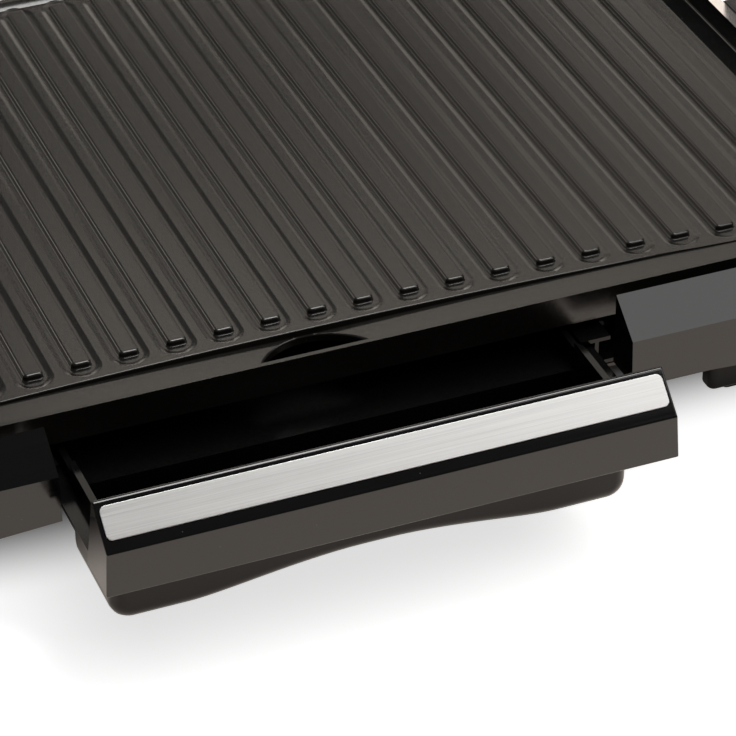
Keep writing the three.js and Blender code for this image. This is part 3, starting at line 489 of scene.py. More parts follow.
def new_group(name, inputs, outputs):
    """An empty node group with its inputs and their values, and its outputs."""
    group = bpy.data.node_groups.new(name, "ShaderNodeTree")
    for label, value in inputs:
        socket = group.interface.new_socket(label, in_out="INPUT", socket_type="NodeSocketFloat")
        socket.default_value = value
    for label in outputs:
        group.interface.new_socket(label, in_out="OUTPUT", socket_type="NodeSocketFloat")
    start = group.nodes.new("NodeGroupInput")
    end = group.nodes.new("NodeGroupOutput")
    return group, start, end


def add_node(tree, kind, **values):
    node = tree.nodes.new(kind)
    for key, value in values.items():
        if key in node.inputs:
            node.inputs[key].default_value = value
        else:
            setattr(node, key, value)
    return node


def math_node(tree, operation, first, second):
    node = tree.nodes.new("ShaderNodeMath")
    node.operation = operation
    for socket, value in zip(node.inputs, (first, second)):
        if isinstance(value, bpy.types.NodeSocket):
            tree.links.new(value, socket)
        else:
            socket.default_value = value
    return node.outputs[0]


def spread(tree, value, low, high, to_low=0.0, to_high=1.0):
    """Maps a value between two ends to a value between two others."""
    node = tree.nodes.new("ShaderNodeMapRange")
    ends = {"From Min": low, "From Max": high, "To Min": to_low, "To Max": to_high}
    for label, number in ends.items():
        node.inputs[label].default_value = number
    tree.links.new(value, node.inputs["Value"])
    return node.outputs["Result"]


def object_place(tree):
    return tree.nodes.new("ShaderNodeTexCoord").outputs["Object"]


def noise(tree, vector, scale, detail=2.0, roughness=0.5):
    node = add_node(tree, "ShaderNodeTexNoise", Detail=detail, Roughness=roughness)
    if isinstance(scale, bpy.types.NodeSocket):
        tree.links.new(scale, node.inputs["Scale"])
    else:
        node.inputs["Scale"].default_value = scale
    tree.links.new(vector, node.inputs["Vector"])
    return node.outputs["Fac"]


def grain_group():
    """Fine cast or moulded grain: a height, a fine mask and a broad mask."""
    group, start, end = new_group(
        "fine_grain",
        [("Scale", 1800.0), ("Broad Scale", 18.0)],
        ["Height", "Fine", "Broad"],
    )
    coordinates = object_place(group)
    fine = noise(group, coordinates, start.outputs["Scale"], 3.0, 0.6)
    broad = noise(group, coordinates, start.outputs["Broad Scale"], 3.0, 0.55)
    half_scale = math_node(group, "MULTIPLY", start.outputs["Scale"], 0.35)
    middle = noise(group, coordinates, half_scale, 2.0, 0.5)
    height = math_node(group, "ADD", fine, math_node(group, "MULTIPLY", middle, 0.8))
    group.links.new(height, end.inputs["Height"])
    group.links.new(spread(group, fine, 0.35, 0.65), end.inputs["Fine"])
    group.links.new(spread(group, broad, 0.3, 0.7), end.inputs["Broad"])
    return group


def speck_group():
    """Scattered small specks, such as dust or metal flake."""
    group, start, end = new_group(
        "specks",
        [("Scale", 900.0), ("Size", 0.16)],
        ["Mask"],
    )
    coordinates = object_place(group)
    cells = group.nodes.new("ShaderNodeTexVoronoi")
    group.links.new(coordinates, cells.inputs["Vector"])
    group.links.new(start.outputs["Scale"], cells.inputs["Scale"])
    near = math_node(group, "LESS_THAN", cells.outputs["Distance"], start.outputs["Size"])
    split = group.nodes.new("ShaderNodeSeparateColor")
    group.links.new(cells.outputs["Color"], split.inputs["Color"])
    chosen = math_node(group, "GREATER_THAN", split.outputs["Red"], 0.8)
    group.links.new(math_node(group, "MULTIPLY", near, chosen), end.inputs["Mask"])
    return group


def streak_group():
    """Long fine lines along X, as brushing or moulding leaves them."""
    group, start, end = new_group(
        "long_streaks",
        [("Stretch", 6.0), ("Scale", 2200.0)],
        ["Height", "Mask"],
    )
    coordinates = object_place(group)
    size = group.nodes.new("ShaderNodeCombineXYZ")
    group.links.new(start.outputs["Stretch"], size.inputs["X"])
    group.links.new(start.outputs["Scale"], size.inputs["Y"])
    group.links.new(start.outputs["Scale"], size.inputs["Z"])
    stretched = add_node(group, "ShaderNodeVectorMath", operation="MULTIPLY")
    group.links.new(coordinates, stretched.inputs[0])
    group.links.new(size.outputs["Vector"], stretched.inputs[1])
    lines = noise(group, stretched.outputs["Vector"], 1.0, 4.0, 0.65)
    group.links.new(lines, end.inputs["Height"])
    group.links.new(spread(group, lines, 0.32, 0.68), end.inputs["Mask"])
    return group


def footprint_group():
    """Zero on the floor under a box, rising to one past its edge."""
    group, start, end = new_group(
        "footprint",
        [("Middle Y", 0.0), ("Half X", 0.2), ("Half Y", 0.15), ("Blur", 0.05)],
        ["Mask"],
    )
    spot = group.nodes.new("ShaderNodeSeparateXYZ")
    group.links.new(object_place(group), spot.inputs[0])
    across = math_node(group, "ABSOLUTE", spot.outputs["X"], 0.0)
    rearward = math_node(group, "SUBTRACT", spot.outputs["Y"], start.outputs["Middle Y"])
    along = math_node(group, "ABSOLUTE", rearward, 0.0)
    over = []
    for distance, half in ((across, "Half X"), (along, "Half Y")):
        past = math_node(group, "SUBTRACT", distance, start.outputs[half])
        over.append(math_node(group, "MAXIMUM", past, 0.0))
    squares = [math_node(group, "POWER", past, 2.0) for past in over]
    reach = math_node(group, "SQRT", math_node(group, "ADD", *squares), 0.0)
    rise = group.nodes.new("ShaderNodeMapRange")
    rise.interpolation_type = "SMOOTHSTEP"
    group.links.new(math_node(group, "DIVIDE", reach, start.outputs["Blur"]), rise.inputs["Value"])
    group.links.new(rise.outputs["Result"], end.inputs["Mask"])
    return group


GROUP_MAKERS = {
    "fine_grain": grain_group,
    "specks": speck_group,
    "long_streaks": streak_group,
    "footprint": footprint_group,
}


class Finish:
    """A material under construction, round one Principled shader."""

    def __init__(self, name, roughness, metallic=0.0):
        self.material = bpy.data.materials.new(name)
        self.material.use_nodes = True
        self.tree = self.material.node_tree
        self.shader = self.tree.nodes["Principled BSDF"]
        self.shader.inputs["Roughness"].default_value = roughness
        self.shader.inputs["Metallic"].default_value = metallic

    def blend_colour(self, first, second, mask):
        mix = self.tree.nodes.new("ShaderNodeMix")
        mix.data_type = "RGBA"
        mix.clamp_factor = True
        for socket, value in ((mix.inputs[6], first), (mix.inputs[7], second)):
            if isinstance(value, bpy.types.NodeSocket):
                self.tree.links.new(value, socket)
            else:
                socket.default_value = (*value, 1.0)
        self.tree.links.new(mask, mix.inputs[0])
        return mix.outputs[2]

    def group(self, name, **values):
        """Sets a shared group in the material with its own values, and gives its outputs."""
        node = self.tree.nodes.new("ShaderNodeGroup")
        node.node_tree = bpy.data.node_groups.get(name) or GROUP_MAKERS[name]()
        for key, value in values.items():
            node.inputs[key.replace("_", " ")].default_value = value
        return node.outputs

    def colour(self, socket):
        self.tree.links.new(socket, self.shader.inputs["Base Color"])
        self.tone = socket

    def mottle(self, colour, dark, light, mask):
        """Gives the finish a colour between two shades of the one given."""
        self.colour(self.blend_colour(shade(colour, dark), shade(colour, light), mask))

    def tint(self, colour, mask, share):
        """Blends a share of another colour over the finish where the mask says."""
        part = math_node(self.tree, "MULTIPLY", mask, share)
        self.colour(self.blend_colour(self.tone, colour, part))

    def roughness(self, mask, low, high):
        value = spread(self.tree, mask, 0.0, 1.0, low, high)
        self.tree.links.new(value, self.shader.inputs["Roughness"])

    def bump(self, height, strength, distance):
        node = add_node(self.tree, "ShaderNodeBump", Strength=strength, Distance=distance * MM)
        self.tree.links.new(height, node.inputs["Height"])
        self.tree.links.new(node.outputs["Normal"], self.shader.inputs["Normal"])


def shade(colour, factor):
    return tuple(channel * factor for channel in colour[:3])


def coated_metal(colour):
    """Non-stick coating on cast aluminium: fine grain, faint flake."""
    finish = Finish("nonstick_coating", 0.38)
    grain = finish.group("fine_grain", Scale=1500.0, Broad_Scale=14.0)
    flake = finish.group("specks", Scale=1500.0, Size=0.2)
    finish.mottle(colour, 0.72, 1.28, grain["Fine"])
    finish.tint(shade(colour, 1.1), grain["Broad"], 0.35)
    finish.tint(shade(colour, 2.6), flake["Mask"], 0.6)
    finish.roughness(grain["Fine"], 0.18, 0.25)
    finish.bump(grain["Height"], 0.3, 0.05)
    return finish.material


def gloss_plastic(colour):
    """Glossy black moulding with faint flow lines and a little dust."""
    finish = Finish("gloss_moulding", 0.1)
    grain = finish.group("fine_grain", Scale=700.0, Broad_Scale=30.0)
    lines = finish.group("long_streaks", Stretch=8.0, Scale=900.0)
    dust = finish.group("specks", Scale=260.0, Size=0.05)
    finish.mottle(colour, 0.8, 1.3, grain["Broad"])
    finish.tint(DUST_COLOUR, dust["Mask"], 0.5)
    finish.roughness(lines["Mask"], 0.07, 0.14)
    finish.bump(lines["Height"], 0.06, 0.02)
    return finish.material


def satin_plastic(colour):
    """Satin black moulding with a fine spark-eroded grain."""
    finish = Finish("satin_moulding", 0.32)
    grain = finish.group("fine_grain", Scale=1400.0, Broad_Scale=22.0)
    finish.mottle(colour, 0.75, 1.35, grain["Fine"])
    finish.roughness(grain["Broad"], 0.12, 0.2)
    finish.bump(grain["Height"], 0.1, 0.02)
    finish.shader.inputs["Specular IOR Level"].default_value = 0.22
    return finish.material


def brushed_metal(colour):
    """Brushed aluminium with its lines along the strip."""
    finish = Finish("brushed_strip", 0.44, 1.0)
    lines = finish.group("long_streaks", Stretch=14.0, Scale=3600.0)
    broad = finish.group("fine_grain", Scale=900.0, Broad_Scale=9.0)
    finish.mottle(colour, 0.86, 1.08, lines["Mask"])
    finish.tint(shade(colour, 0.97), broad["Broad"], 0.3)
    finish.roughness(lines["Mask"], 0.4, 0.52)
    finish.bump(lines["Height"], 0.3, 0.012)
    return finish.material


def bare_metal(name, colour, roughness, streaked):
    """Plain sheet, plated or sheathed metal."""
    finish = Finish(name, roughness, 1.0)
    grain = finish.group("fine_grain", Scale=900.0, Broad_Scale=40.0)
    lines = finish.group("long_streaks", Stretch=30.0, Scale=1500.0)
    finish.mottle(colour, 0.82, 1.1, lines["Mask"] if streaked else grain["Fine"])
    finish.tint(shade(colour, 0.7), grain["Broad"], 0.35)
    finish.roughness(grain["Broad"], roughness * 0.8, roughness * 1.25)
    finish.bump(grain["Height"], 0.15, 0.02)
    return finish.material


def soft_rubber(colour):
    """Matt rubber with a dusty bloom."""
    finish = Finish("soft_rubber", 0.8)
    grain = finish.group("fine_grain", Scale=1100.0, Broad_Scale=60.0)
    finish.mottle(colour, 0.8, 1.6, grain["Broad"])
    finish.roughness(grain["Fine"], 0.72, 0.9)
    finish.bump(grain["Height"], 0.3, 0.03)
    return finish.material


FINISH_MAKERS = {
    "coated_aluminium": lambda s: coated_metal(s.coating_colour),
    "gloss_black": lambda s: gloss_plastic(s.plastic_colour),
    "satin_black": lambda s: satin_plastic(s.inner_colour),
    "brushed_aluminium": lambda s: brushed_metal(s.strip_colour),
    # Sheet steel darkened to near black as painted shade where it shows through the pocket in the
    # base
    "sheet_steel": lambda s: bare_metal("sheet_steel", (0.05, 0.048, 0.046), 0.45, True),
    "element_sheath": lambda s: bare_metal("element_sheath", (0.09, 0.085, 0.08), 0.5, False),
    "nickel": lambda s: bare_metal("nickel_plate", (0.62, 0.61, 0.58), 0.22, False),
    "screw_zinc": lambda s: bare_metal("zinc_plate", (0.45, 0.45, 0.45), 0.3, False),
    "rubber": lambda s: soft_rubber((0.02, 0.02, 0.02)),
}
made_finishes = {}


def finish_of(slot):
    """The finish of a material slot, made the first time it is asked for."""
    if slot not in made_finishes:
        made_finishes[slot] = FINISH_MAKERS[slot](bpy.context.scene.grill_finishes)
    return made_finishes[slot]


# Settings that a user would change


class GrillPlateSettings(bpy.types.PropertyGroup):
    rib_count: bpy.props.IntProperty(
        name="Ribs",
        description="Number of ribs across the plate",
        default=24,
        min=2,
    )
    rib_pitch: bpy.props.FloatProperty(
        name="Rib pitch",
        description="From one rib to the next",
        default=0.016,
        unit="LENGTH",
        subtype="DISTANCE",
    )
    rib_width: bpy.props.FloatProperty(
        name="Rib width",
        description="Width of a rib between its sides",
        default=0.0066,
        unit="LENGTH",
        subtype="DISTANCE",
    )
    rib_height: bpy.props.FloatProperty(
        name="Rib height",
        description="Height of a rib above its trough",
        default=0.0019,
        unit="LENGTH",
        subtype="DISTANCE",
    )
    trough_width: bpy.props.FloatProperty(
        name="Trough width",
        description="Width of the trough round a rib",
        default=0.0144,
        unit="LENGTH",
        subtype="DISTANCE",
    )
    front_sweep: bpy.props.FloatProperty(
        name="Front sweep",
        description="How far the rib fronts reach forward 152 mm from the middle",
        default=0.00475,
        unit="LENGTH",
        subtype="DISTANCE",
    )


class GrillDrawerSettings(bpy.types.PropertyGroup):
    strip_width: bpy.props.FloatProperty(
        name="Strip width",
        description="Width of the metal strip",
        default=0.0108,
        unit="LENGTH",
        subtype="DISTANCE",
    )
    strip_top_margin: bpy.props.FloatProperty(
        name="Strip top margin",
        description="From the strip to the top of the drawer front",
        default=0.0015,
        unit="LENGTH",
        subtype="DISTANCE",
    )
    strip_end_margin: bpy.props.FloatProperty(
        name="Strip end margin",
        description="From the strip to the ends of the drawer front",
        default=0.0013,
        unit="LENGTH",
        subtype="DISTANCE",
    )
    strip_corner: bpy.props.FloatProperty(
        name="Strip corner",
        description="Corner radius of the strip",
        default=0.002,
        unit="LENGTH",
        subtype="DISTANCE",
    )


class GrillFinishSettings(bpy.types.PropertyGroup):
    coating_colour: bpy.props.FloatVectorProperty(
        name="Coating",
        description="Colour of the plate's coating",
        default=(0.011, 0.0095, 0.008),
        subtype="COLOR",
    )
    plastic_colour: bpy.props.FloatVectorProperty(
        name="Gloss plastic",
        description="Colour of the base, the handles and the drawer front",
        default=(0.003, 0.003, 0.0031),
        subtype="COLOR",
    )
    inner_colour: bpy.props.FloatVectorProperty(
        name="Satin plastic",
        description="Colour of the tray, the runners and the legs",
        default=(0.004, 0.004, 0.004),
        subtype="COLOR",
    )
    strip_colour: bpy.props.FloatVectorProperty(
        name="Strip",
        description="Colour of the brushed strip",
        default=(0.87, 0.865, 0.855),
        subtype="COLOR",
    )


class GrillStageSettings(bpy.types.PropertyGroup):
    floor_colour: bpy.props.FloatVectorProperty(
        name="Floor",
        description="Colour of the pale floor",
        default=(0.86, 0.855, 0.845),
        subtype="COLOR",
    )
    bounce_colour: bpy.props.FloatVectorProperty(
        name="Bounce",
        description="Colour that the floor throws back on the grill",
        default=(0.9, 0.8, 0.72),
        subtype="COLOR",
    )
    floor_lift: bpy.props.FloatProperty(
        name="Floor lift",
        description="Light that the floor shows by itself",
        default=0.98,
        min=0.0,
        max=1.0,
    )
    fill: bpy.props.FloatProperty(
        name="Fill",
        description="Strength of the world's light",
        default=0.1,
        min=0.0,
    )


def sweep(settings, x):
    """How far forward the rib and land edge curves at a distance from the middle."""
    return -settings.front_sweep / MM * (x / SWEEP_REACH) ** 2


# Plate


def step_in(steps):
    """Insets the chosen face and moves it up or down, once for each step."""
    for inward, rise in steps:
        bpy.ops.mesh.inset(thickness=inward * MM, depth=0)
        shift(0, 0, rise)


def trough_tool(settings):
    """One trough as a solid: a long shallow dish with soft edges."""
    around = 32
    radius = settings.trough_width / MM / 2
    front = TROUGH_FRONT + radius
    rear = RIB_LENGTH + TROUGH_PAST - radius
    clear_selection()
    bpy.ops.mesh.primitive_circle_add(
        vertices=around,
        radius=radius * MM,
        fill_type="NGON",
        location=at(0, front, LAND + TROUGH_STAND),
        rotation=(0, 0, math.pi / around),
    )
    piece = named("trough_tool")
    edit(piece)
    choose_points(piece, lambda p: p.y > front)
    shift(0, rear - front, 0)
    select_whole()
    bpy.ops.mesh.normals_make_consistent(inside=False)
    bpy.ops.mesh.select_mode(type="FACE")
    select_whole()
    pull(by(0, 0, SLIVER - TROUGH_STAND))
    step_in([(TROUGH_SLOPE / len(TROUGH_FALLS), -fall) for fall in TROUGH_FALLS])
    face_outward(piece)
    return piece


def quarter(width, height, count, hollow):
    """Steps round a quarter ellipse: out of a flat foot, or over onto a flat top."""
    angles = [math.radians(90 * index / count) for index in range(count + 1)]
    steps = []
    for low, high in zip(angles, angles[1:]):
        fast = math.sin(high) - math.sin(low)
        slow = math.cos(low) - math.cos(high)
        steps.append((width * fast, height * slow) if hollow else (width * slow, height * fast))
    return steps


def rib_tool(settings):
    """One rib: rounded corners, a hollowed foot, steep sides and a rounded top."""
    half = settings.rib_width / MM / 2
    height = settings.rib_height / MM
    foot = RIB_TOP - height - RIB_SINK
    reach = half + RIB_FOOT
    front = RIB_FRONT - RIB_FOOT
    piece = add_block("rib", (-reach, front, foot - RIB_ROOT), (reach, RIB_LENGTH, foot))
    edit(piece, "EDGE")
    choose_edges(piece, lambda a, b: (a.xy - b.xy).length < 0.01)
    bevel(RIB_CORNER, 6)
    choose_faces(piece, lambda middle, normal: normal.z > 0.9)
    wall = height + RIB_SINK - RIB_FOOT - RIB_ROUND
    step_in(quarter(RIB_FOOT, RIB_FOOT, 4, True))
    step_in([(RIB_LEAN, wall)])
    step_in(quarter(RIB_CROWN, RIB_ROUND, 6, False))
    face_outward(piece)
    return piece


def row_of(settings, tool):
    """Copies of one rib or trough across the plate, each with its front end on the sweep."""
    pitch = settings.rib_pitch / MM
    copies = []
    for index in range(settings.rib_count):
        x = (index - (settings.rib_count - 1) / 2) * pitch
        copy = copy_of(tool, f"{tool.name}_{index}")
        edit(copy)
        choose_points(copy, lambda p: p.y < RIB_LENGTH / 2)
        shift(0, sweep(settings, x), 0)
        select_whole()
        shift(x, 0, 0)
        done()
        copies.append(copy)
    activate(tool)
    bpy.ops.object.delete()
    return join_all(copies)


def gutter_tool(settings):
    """The lowered strip in front of the land, deepest at the drain."""
    count = 24
    inner = PLATE_FRONT + LIP
    back = []
    for index in range(count + 1):
        x = GUTTER_HALF * (2 * index / count - 1)
        depth = GUTTER_DROP * (1 - abs(x) / GUTTER_HALF)
        back.append(at(x, sweep(settings, x) - LAND_REACH, LAND - depth))
    halves = []
    for side in (-1, 1):
        rim = [spot for spot in back if side * spot.x >= -0.0001]
        if side < 0:
            rim = rim[::-1]
        ends = [at(side * GUTTER_HALF, inner, LAND), at(0, inner, LAND - GUTTER_DROP)]
        half = draw_face(f"gutter_half_{side}", rim + ends)
        pull(by(0, 0, PAST))
        face_outward(half)
        halves.append(half)
    return weld(*halves)


def on_gutter_rim(settings, spot):
    """Whether a place lies on the land's edge, where the gutter is deep enough to round it."""
    row = sweep(settings, spot.x) - LAND_REACH
    on_edge = abs(spot.z - LAND) < 0.02 and abs(spot.y - row) < 0.3
    return on_edge and abs(spot.x) < GUTTER_ROUND_REACH


def drain_tool():
    """The round drain hole with its rounded edge, closed in front by the lip."""
    floor = LAND - GUTTER_DROP + DRAIN_SINK
    depth = 2 * PAST
    clear_selection()
    bpy.ops.mesh.primitive_circle_add(
        vertices=96,
        radius=DRAIN_RADIUS * MM,
        fill_type="NGON",
        location=at(0, -DRAIN_REACH, floor - depth),
    )
    piece = named("drain_tool")
    edit(piece, "FACE")
    select_whole()
    pull(by(0, 0, depth - DRAIN_ROUND))
    rounding = 5
    for index in range(rounding):
        low, high = (math.radians(90 * k / rounding) for k in (index, index + 1))
        outward = DRAIN_ROUND * (math.cos(low) - math.cos(high))
        bpy.ops.mesh.extrude_region_move()
        widen = 1 + outward / (DRAIN_RADIUS + DRAIN_ROUND * (1 - math.cos(low)))
        bpy.ops.transform.resize(value=(widen, widen, 1), center_override=at(0, -DRAIN_REACH, 0))
        shift(0, 0, DRAIN_ROUND * (math.sin(high) - math.sin(low)))
    pull(by(0, 0, PAST))
    face_outward(piece)
    wide = 3 * DRAIN_RADIUS
    front = add_block(
        "drain_front",
        (-wide, PLATE_FRONT - wide, LAND - wide),
        (wide, PLATE_FRONT + LIP, LAND + wide),
    )
    return cut(piece, front)


def plate_block(name, side, front, low, high, steps):
    """A block of the plate's outline, drawn in from its sides and back and from its front."""
    return add_block(
        name,
        (-PLATE_HALF + side, PLATE_FRONT + front, low),
        (PLATE_HALF - side, PLATE_REAR - side, high),
        PLATE_CORNER - side,
        steps,
    )


def land_tool():
    """What stands over the land, with sides that slope in from the crest round it."""
    piece = plate_block("land_tool", CREST_WIDTH, LIP, LAND, 2 * RIB_TOP - LAND, 10)
    edit(piece, "FACE")
    choose_faces(piece, lambda middle, normal: normal.z < -0.9)
    bpy.ops.mesh.delete(type="ONLY_FACE")
    choose_edges(piece, lambda a, b: a.z < LAND + 0.1 and b.z < LAND + 0.1)
    shift(0, 0, RIB_TOP - LAND)
    bpy.ops.mesh.edge_face_add()
    choose_faces(piece, lambda middle, normal: abs(middle.z - RIB_TOP) < 0.01 and abs(normal.z) > 0.9)
    bpy.ops.mesh.inset(thickness=CREST_RUN * MM, depth=0)
    shift(0, 0, LAND - RIB_TOP)
    face_outward(piece)
    return piece


def fall_tool():
    """What stands over the plate's front, where the crest falls away to the lip."""
    high = RIB_TOP + 2 * PAST
    fall_end = PLATE_FRONT + LIP + CREST_FALL
    section = [
        (PLATE_FRONT - PAST / 2, LAND),
        (PLATE_FRONT + LIP, LAND),
        (fall_end, RIB_TOP),
        (fall_end, high),
        (PLATE_FRONT - PAST / 2, high),
    ]
    return draw_across("fall_tool", PLATE_HALF + PAST / 2, section)


class GRILL_OT_plate(bpy.types.Operator):
    """Builds the ribbed cooking plate"""

    bl_idname = "grill.plate"
    bl_label = "Cooking plate"

    def execute(self, context):
        settings = context.scene.grill_plate
        plate = plate_block("ribbed_plate", 0, 0, SKIRT_BOTTOM, RIB_TOP, 10)
        low = SKIRT_BOTTOM - PAST
        hollow = plate_block("hollow_tool", SKIRT_WALL, SKIRT_WALL, low, UNDERSIDE, 8)
        notch = add_block(
            "notch_tool",
            (PLATE_HALF - SKIRT_WALL - ROOM, NOTCH_ROW - NOTCH_HALF, low),
            (PLATE_HALF + PAST, NOTCH_ROW + NOTCH_HALF, UNDERSIDE),
        )
        cut(plate, hollow, fall_tool(), land_tool(), notch)
        round_edges(plate, PLATE_ROUND, 3)
        cut(plate, gutter_tool(settings))
        edit(plate, "EDGE")
        choose_edges(plate, lambda *ends: all(on_gutter_rim(settings, spot) for spot in ends))
        bevel(GUTTER_ROUND, 4, clamp_overlap=False)
        done()
        cut(plate, drain_tool(), row_of(settings, trough_tool(settings)))
        weld(plate, row_of(settings, rib_tool(settings)))
        finish_piece(plate, "plate", "coated_aluminium", "grill_plate")
        return {"FINISHED"}


# Base


def rail_levels(rear):
    """Heights of the ledge, the crest and the crease, at the rear or elsewhere."""
    if rear:
        return REAR_LEDGE, REAR_CREST, REAR_CREASE
    return LEDGE, RAIL_TOP, RAIL_TOP - RAIL_FALL


def rail_section(rear, bottom):
    """Distance from the inner wall and height, round the solid moulded section."""
    ledge, crest, crease = rail_levels(rear)
    points = [
        (FRAME_WALL, FRAME_BOTTOM),
        (0, FRAME_BOTTOM),
        (0, FLANGE_HEIGHT),
        (-FLANGE_WIDTH, FLANGE_HEIGHT),
        (-FLANGE_WIDTH, FLANGE_HEIGHT + FLANGE_SHEET),
        (0, FLANGE_HEIGHT + FLANGE_SHEET),
        (0, ledge),
    ]
    for index in range(5):
        angle = math.radians(90 * index / 4)
        d = LEDGE_WIDTH - LEDGE_FILLET * (1 - math.sin(angle))
        z = LEDGE + LEDGE_FILLET * (1 - math.cos(angle))
        if rear:
            z = ledge + (crest - ledge) * d / LEDGE_WIDTH
        points.append((d, z))
    points += [
        (LEDGE_WIDTH, crest + (SLIVER if rear else 0)),
        (LEDGE_WIDTH + RAIL_RUN, crease),
        (LEDGE_WIDTH + RAIL_RUN + RAIL_LEAN, bottom),
        (FRAME_WALL, bottom),
    ]
    return points


def hollow_section(rear):
    """The space under the rail, one wall's thickness inside the section."""
    ledge, crest, crease = rail_levels(rear)
    fall = (crest - crease) / RAIL_RUN
    skin = FRAME_WALL * math.hypot(1, fall)
    under = crest - FRAME_WALL * fall - skin
    near = LEDGE_WIDTH + FRAME_WALL
    return [
        (FRAME_WALL, HOLLOW_BOTTOM),
        (FRAME_WALL, ledge - (REAR_SKIN if rear else 1) * FRAME_WALL),
        (near, under - SLIVER if rear else LEDGE - FRAME_WALL),
        (near, under),
        (LEDGE_WIDTH + RAIL_RUN - FRAME_WALL, crease + FRAME_WALL * fall - skin),
        (LEDGE_WIDTH + RAIL_RUN + RAIL_LEAN - FRAME_WALL, HOLLOW_BOTTOM),
    ]


def set_heights(piece, old, new, ring):
    """Moves the ring's points up or down, from one section's heights to another's."""
    for (d, z), (_, target) in zip(old, new):
        if abs(target - z) > 0.001:
            choose_points(
                piece,
                lambda p: ring(p) and abs(depth_at(p) - d) < 0.01 and abs(p.z - z) < 0.005,
            )
            shift(0, 0, target - z)


def depth_at(spot):
    """How far a place lies outside the inner wall, on the front or on a side."""
    return max(abs(spot.x) - FRAME_HALF, FRAME_FRONT - spot.y)


def turn_corner(centre):
    """Carries what is selected a quarter turn round an upright line."""
    bpy.ops.mesh.spin(steps=12, angle=-math.pi / 2, center=centre, axis=(0, 0, 1))


def carried_round(name, start, front, corner, rear):
    """A section carried from the drawer's opening round both corners to the back, and mirrored."""
    centre_x = FRAME_HALF - FRAME_CORNER
    centre_front = FRAME_FRONT + FRAME_CORNER
    centre_rear = FRAME_REAR - FRAME_CORNER
    points = [at(start, FRAME_FRONT - d, z) for d, z in front]
    piece = draw_line(name, points + [points[0]])
    bpy.ops.mesh.remove_doubles(threshold=0.001 * MM)
    bpy.ops.mesh.select_mode(type="EDGE")
    select_whole()
    pull(by(centre_x - start, 0, 0))
    set_heights(piece, front, corner, lambda p: p.x > centre_x - 1)
    choose_edges(piece, lambda a, b: a.x > centre_x - 1 and b.x > centre_x - 1)
    turn_corner(at(centre_x, centre_front, 0))
    pull(by(0, centre_rear - REAR_BLEND - centre_front, 0))
    pull(by(0, REAR_BLEND, 0))
    set_heights(piece, corner, rear, lambda p: p.y > centre_rear - 1)
    choose_edges(piece, lambda a, b: a.y > centre_rear - 1 and b.y > centre_rear - 1)
    turn_corner(at(centre_x, centre_rear, 0))
    pull(by(-centre_x, 0, 0))
    choose_edges(piece, lambda a, b: abs(a.x - start) < 0.01 and abs(b.x - start) < 0.01)
    bpy.ops.mesh.edge_face_add()
    done()
    return mirror_x(piece)


def bar_hollow(side):
    """The space inside a front bar beside the drawer, in front of the pocket's wall."""
    section = hollow_section(False)[2:]
    section[0] = (section[0][0], HOLLOW_BOTTOM)
    start = BAY_HALF + FRAME_WALL
    places = [at(side * start, FRAME_FRONT - d, z) for d, z in section]
    return draw_bar("bar_hollow", places, by(side * (POCKET_LENGTH + 2), 0, 0))


class GRILL_OT_base(bpy.types.Operator):
    """Builds the moulded base with its front bars and side rails"""

    bl_idname = "grill.base"
    bl_label = "Base"

    def execute(self, context):
        corner = rail_section(False, CORNER_BOTTOM)
        base = carried_round(
            "base_shell",
            BAY_HALF,
            rail_section(False, RAIL_BOTTOM),
            corner,
            rail_section(True, CORNER_BOTTOM),
        )
        pocket_end = BAY_HALF + POCKET_LENGTH
        under = hollow_section(False)
        hollow = carried_round(
            "rail_hollow",
            pocket_end + FRAME_WALL,
            under,
            under,
            hollow_section(True),
        )
        pocket = add_block(
            "pocket_tool",
            (-pocket_end, FRAME_FRONT - LEDGE_WIDTH, 0),
            (pocket_end, FRAME_FRONT + FLANGE_WIDTH + 1, ABOVE_ALL),
        )
        port = add_block(
            "port_tool",
            (FRAME_HALF - 2 * PAST, PORT_ROW - PORT_HALF, PORT_LOW),
            (FRAME_HALF + 4 * PAST, PORT_ROW + PORT_HALF, PORT_HIGH),
        )
        cut(base, hollow, bar_hollow(-1), bar_hollow(1), pocket, port)
        round_edges(base, BASE_ROUND, 3, 24)
        finish_piece(base, "base", "gloss_black", "base_frame")
        return {"FINISHED"}


# Drawer


def rounded_points(low, high, radius, steps, to_place):
    """Corners of a rounded rectangle, each turned into a place."""
    centres = (
        (high[0] - radius, low[1] + radius, -90),
        (high[0] - radius, high[1] - radius, 0),
        (low[0] + radius, high[1] - radius, 90),
        (low[0] + radius, low[1] + radius, 180),
    )
    points = [spot for u, v, start in centres for spot in arc(u, v, radius, start, steps)]
    return [to_place(*spot) for spot in points]


def on_bevel(u, v, lift=0.0):
    """A place on the drawer front's bevel: u across, v down from its top edge."""
    length = math.hypot(CAP_RUN, CAP_TOP - CAP_CREASE)
    run, fall = CAP_RUN / length, (CAP_TOP - CAP_CREASE) / length
    top = Vector((0, CAP_FRONT + CAP_LEAN + CAP_RUN, CAP_TOP))
    spot = top + Vector((u, -run * v, -fall * v)) + Vector((0, -fall, run)) * lift
    return at(*spot)


